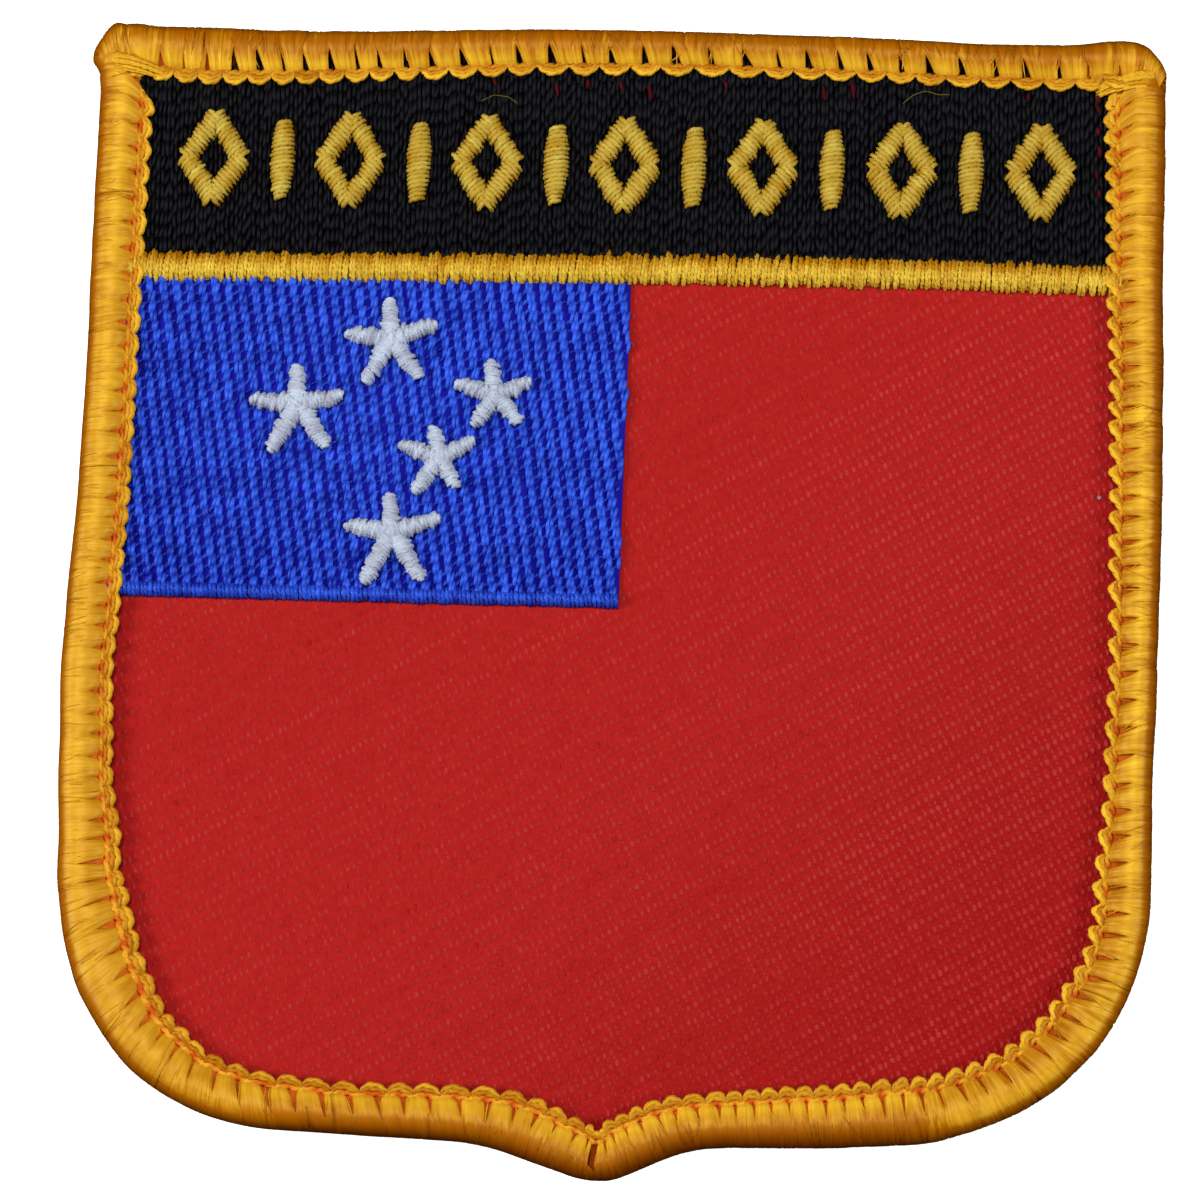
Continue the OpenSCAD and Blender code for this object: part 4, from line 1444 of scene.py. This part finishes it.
def add_twill():
    """The warp floats of a 3/1 twill, wherever the red cloth shows."""
    rng = seeded("twill")
    xs = np.arange(-SIDE_X + 2, SIDE_X - 2, WARP_PITCH)
    rows = np.arange(-TOP_Y, BAR_LOW[1] + 1, FLOAT_REPEAT)
    col, row = np.meshgrid(np.arange(len(xs)), np.arange(len(rows)), indexing="ij")
    x, y = xs[col].ravel(), (rows[row] + (col % 4) * PICK).ravel()
    shift_x, shift_y, share, dim = np.repeat(np.array(FLOAT_SETS), len(x), 0).T
    x, y = np.tile(x, len(FLOAT_SETS)) + shift_x, np.tile(y, len(FLOAT_SETS)) + shift_y
    keep = (y < BAR_LOW[1] + 0.15) & ~((x < CANTON_HIGH[0] - 0.2) & (y > HEM_LOW[1] + 0.25))
    rim = edge_place(np.linspace(0, WALK, RIM_STATIONS, endpoint=False), RIM_DEPTH, wobbly=False)
    keep &= points_inside(np.stack([x, y], -1), rim)
    x, y, share, dim = x[keep], y[keep], share[keep], dim[keep]
    count = len(x)
    x = x + rng.normal(0, 0.022, count)
    y = y + rng.normal(0, 0.035, count)
    outline = np.array(FLOAT_RING + FLOAT_RIDGE) * [FLOAT_W / 2, FLOAT_L / 2]
    levels = np.repeat([0, 1], [len(FLOAT_RING), len(FLOAT_RIDGE)])
    press = FLOAT_RISE + MORE_RISE * np.clip((x - y) / 45, 0, 1)
    high = press * share * (1 + rng.normal(0, 0.12, count))
    size = rng.uniform(0.8, 1.12, (count, 2)) * share[:, None]
    px = x[:, None] + size[:, :1] * outline[:, 0] + FLOAT_LEAN * outline[:, 1] * 2
    py = y[:, None] + size[:, 1:] * outline[:, 1]
    pz = CLOTH_TOP - 0.01 + high[:, None] * levels
    first = np.arange(count)[:, None, None] * len(outline)
    groups = []
    for faces in FLOAT_FACES:
        corners = np.array(faces)
        uv = outline[corners] + rng.uniform(0, UV_ALONG, (count, 1, 1, 2))
        groups.append(((first + corners).reshape(-1, corners.shape[1]), uv))
    # Painted shade: floats are darker towards the lower right.
    grade = np.clip(((x - y) - GRADE_START) / (GRADE_END - GRADE_START), 0, 1)[:, None]
    rib = np.round((y - x * RIB_RISE) / FLOAT_REPEAT).astype(int)
    rib_tone = rng.normal(0, RIB_TONE_SPREAD, rib.max() - rib.min() + 1)[rib - rib.min()]
    clear = smooth_steps(WEAVE_CLARITY, x)[:, None]
    tones = CLOTH_TONE + clear * (WEAVE_TONE + RIDGE_HIGHLIGHT * levels + dim[:, None]) - GRADE_SHADE_TONE * grade
    tones = tones + rib_tone[:, None] + rng.normal(0, TONE_SPREAD, (count, 1))
    tones = tones + rng.normal(0, TONE_SPREAD, (count, len(outline)))
    shape = Shape()
    shape.add(np.stack([px, py, pz], -1), tones, groups)
    return shape.piece("twill_floats", red_cloth, "red_twill")


def points_inside(points, ring):
    """Which points lie inside a closed ring."""
    inside = np.zeros(len(points), bool)
    a, b = ring, np.roll(ring, -1, 0)
    for (ax, ay), (bx, by) in zip(a, b):
        if ay == by:
            continue
        crosses = (ay > points[:, 1]) != (by > points[:, 1])
        at = ax + (points[:, 1] - ay) / (by - ay) * (bx - ax)
        inside ^= crosses & (points[:, 0] < at)
    return inside


# Small flaws of the real patch

# Red cloth and thread that show through the black field.
RED_TICKS = [
    # x, y, length
    (-8.12, 31.25, 0.4), (-4.31, 30.85, 0.8), (-2.45, 31.30, 0.5), (-0.43, 31.20, 0.5), (1.35, 30.80, 1.0),
    (5.95, 31.35, 0.4), (11.90, 30.95, 0.9), (13.65, 31.15, 1.1), (24.2, 30.9, 0.4), (-24.27, 31.0, 0.5),
    (28.40, 30.95, 0.7), (28.45, 30.25, 0.5), (28.46, 28.85, 0.5), (28.58, 27.60, 0.7), (28.45, 26.10, 0.5),
    (28.60, 25.00, 0.5),
]
TICK_R = 0.12
TICK_RISE = 0.25
TICK_LEAN = -0.15
FUZZ_R = 0.022
FUZZ = [
    # material, its slot, then places along a loose fibre
    (dull_fibre, "gold_satin_thread", [
        (16.70, 30.35, 1.95), (17.30, 30.85, 2.15), (18.05, 31.10, 2.2), (18.80, 30.90, 2.1),
        (19.5, 30.95, 2.0),
    ]),
    (dull_fibre, "gold_satin_thread", [
        (-8.9, 30.0, 2.1), (-8.1, 30.35, 2.3), (-7.2, 30.25, 2.25), (-6.7, 29.9, 2.1),
    ]),
    (white_thread, "white_thread", [
        (28.92, 6.40, 1.60), (29.06, 6.53, 1.66), (29.14, 6.42, 1.70), (29.02, 6.34, 1.68),
        (28.94, 6.46, 1.66), (29.04, 6.58, 1.62),
    ]),
]


def add_ticks():
    rng = seeded("ticks")
    x, y, length = np.array(RED_TICKS).T[..., None]
    f = np.linspace(0, 1, 6)
    along = (f - 0.5) * length
    z = FIELD_BASE + TICK_RISE + 0.08 * hump(f) + 0 * along
    paths = np.stack([x + TICK_LEAN * along, y + along, z], -1)
    radius = TICK_R * (0.5 + 0.5 * hump(f)) * rng.uniform(0.8, 1.1, (len(x), 1))
    shape = Shape()
    add_tubes(shape, paths, plied_rings(radius, 6, 0.9), 0.5, rng)
    shape.piece("red_ticks", red_thread, "red_twill")


def add_fuzz():
    rng = seeded("fuzz")
    for number, (material, slot, knots) in enumerate(FUZZ, 1):
        path = course_through(knots, 4 * len(knots))[None]
        shape = Shape()
        add_tubes(shape, path, plied_rings(np.full(path.shape[:2], FUZZ_R), 5, 0.95), 0.4, rng)
        shape.piece(f"fuzz_{number}", material, slot)


# Making the patch

add_border()
add_loose_filaments()
add_core()
add_looped_edge()
add_corner_strands()
add_canton()
add_title()
add_bar()
add_hem()
for number in range(1, LOZENGES + 1):
    add_lozenge(number)
for number in range(1, SPINDLES + 1):
    add_spindle(number)
for number, (x, y, arms) in enumerate(STARS, 1):
    add_star(number, x, y, arms)
sheet = add_ground_sheet()
twill = add_twill()
add_ticks()
add_fuzz()


# Floor and lights

FLOOR_SIDE = 1.5
FLOOR_COLOUR = linear((250, 250, 250))
FLOOR_GLOW = 0.9
LIGHT_SIZE = 0.35
LIGHTS = [
    # name, place, power
    ("overhead", (-0.06, 0.14, 0.75), 3.0),
    ("from_right", (0.60, -0.05, 0.40), 2.8),
    ("from_left", (-0.60, -0.05, 0.40), 3.5),
]
# Strength of the sky's light below the horizon and high above it.
WORLD_STRENGTHS = (0.03, 0.4)


def add_floor():
    side = FLOOR_SIDE
    mesh = bpy.data.meshes.new("floor")
    mesh.from_pydata(
        [(-side, -side, 0), (side, -side, 0), (side, side, 0), (-side, side, 0)], [], [(0, 1, 2, 3)]
    )
    material, tree = new_material("pale_floor")
    grain = node(tree, "ShaderNodeTexNoise", Scale=40.0, Detail=2.0)
    darker = tuple(c * 0.985 for c in FLOOR_COLOUR[:3]) + (1.0,)
    add_shader(
        tree, [("Base Color", ramp(tree, grain.outputs["Fac"], darker, FLOOR_COLOUR))], Roughness=0.9,
        Emission_Color=FLOOR_COLOUR, Emission_Strength=FLOOR_GLOW,
    )
    mesh.materials.append(material)
    floor = add_object("floor", mesh)
    floor.visible_diffuse = False
    floor.visible_glossy = False


def add_area_light(name, place, power):
    """A soft lamp that is aimed at the patch."""
    data = bpy.data.lights.new(name, "AREA")
    data.shape = "DISK"
    data.size = LIGHT_SIZE
    data.energy = power
    light = add_object(name, data)
    light.location = place
    light.rotation_euler = (-Vector(place)).to_track_quat("-Z", "Y").to_euler()


def add_world():
    """Pale light from above the horizon, and little from below it."""
    world = bpy.data.worlds.new("studio")
    world.use_nodes = True
    tree = world.node_tree
    direction = node(tree, "ShaderNodeTexCoord")
    height = node(tree, "ShaderNodeSeparateXYZ", [("Vector", direction.outputs["Generated"])])
    low, high = WORLD_STRENGTHS
    strength = node(
        tree, "ShaderNodeMapRange", [("Value", height.outputs["Z"])],
        From_Min=-0.05, From_Max=0.5, To_Min=low, To_Max=high,
    )
    tree.links.new(strength.outputs["Result"], tree.nodes["Background"].inputs["Strength"])
    bpy.context.scene.world = world


add_floor()
for name, place, power in LIGHTS:
    add_area_light(name, place, power)
add_world()
bpy.context.scene.view_settings.view_transform = "Standard"
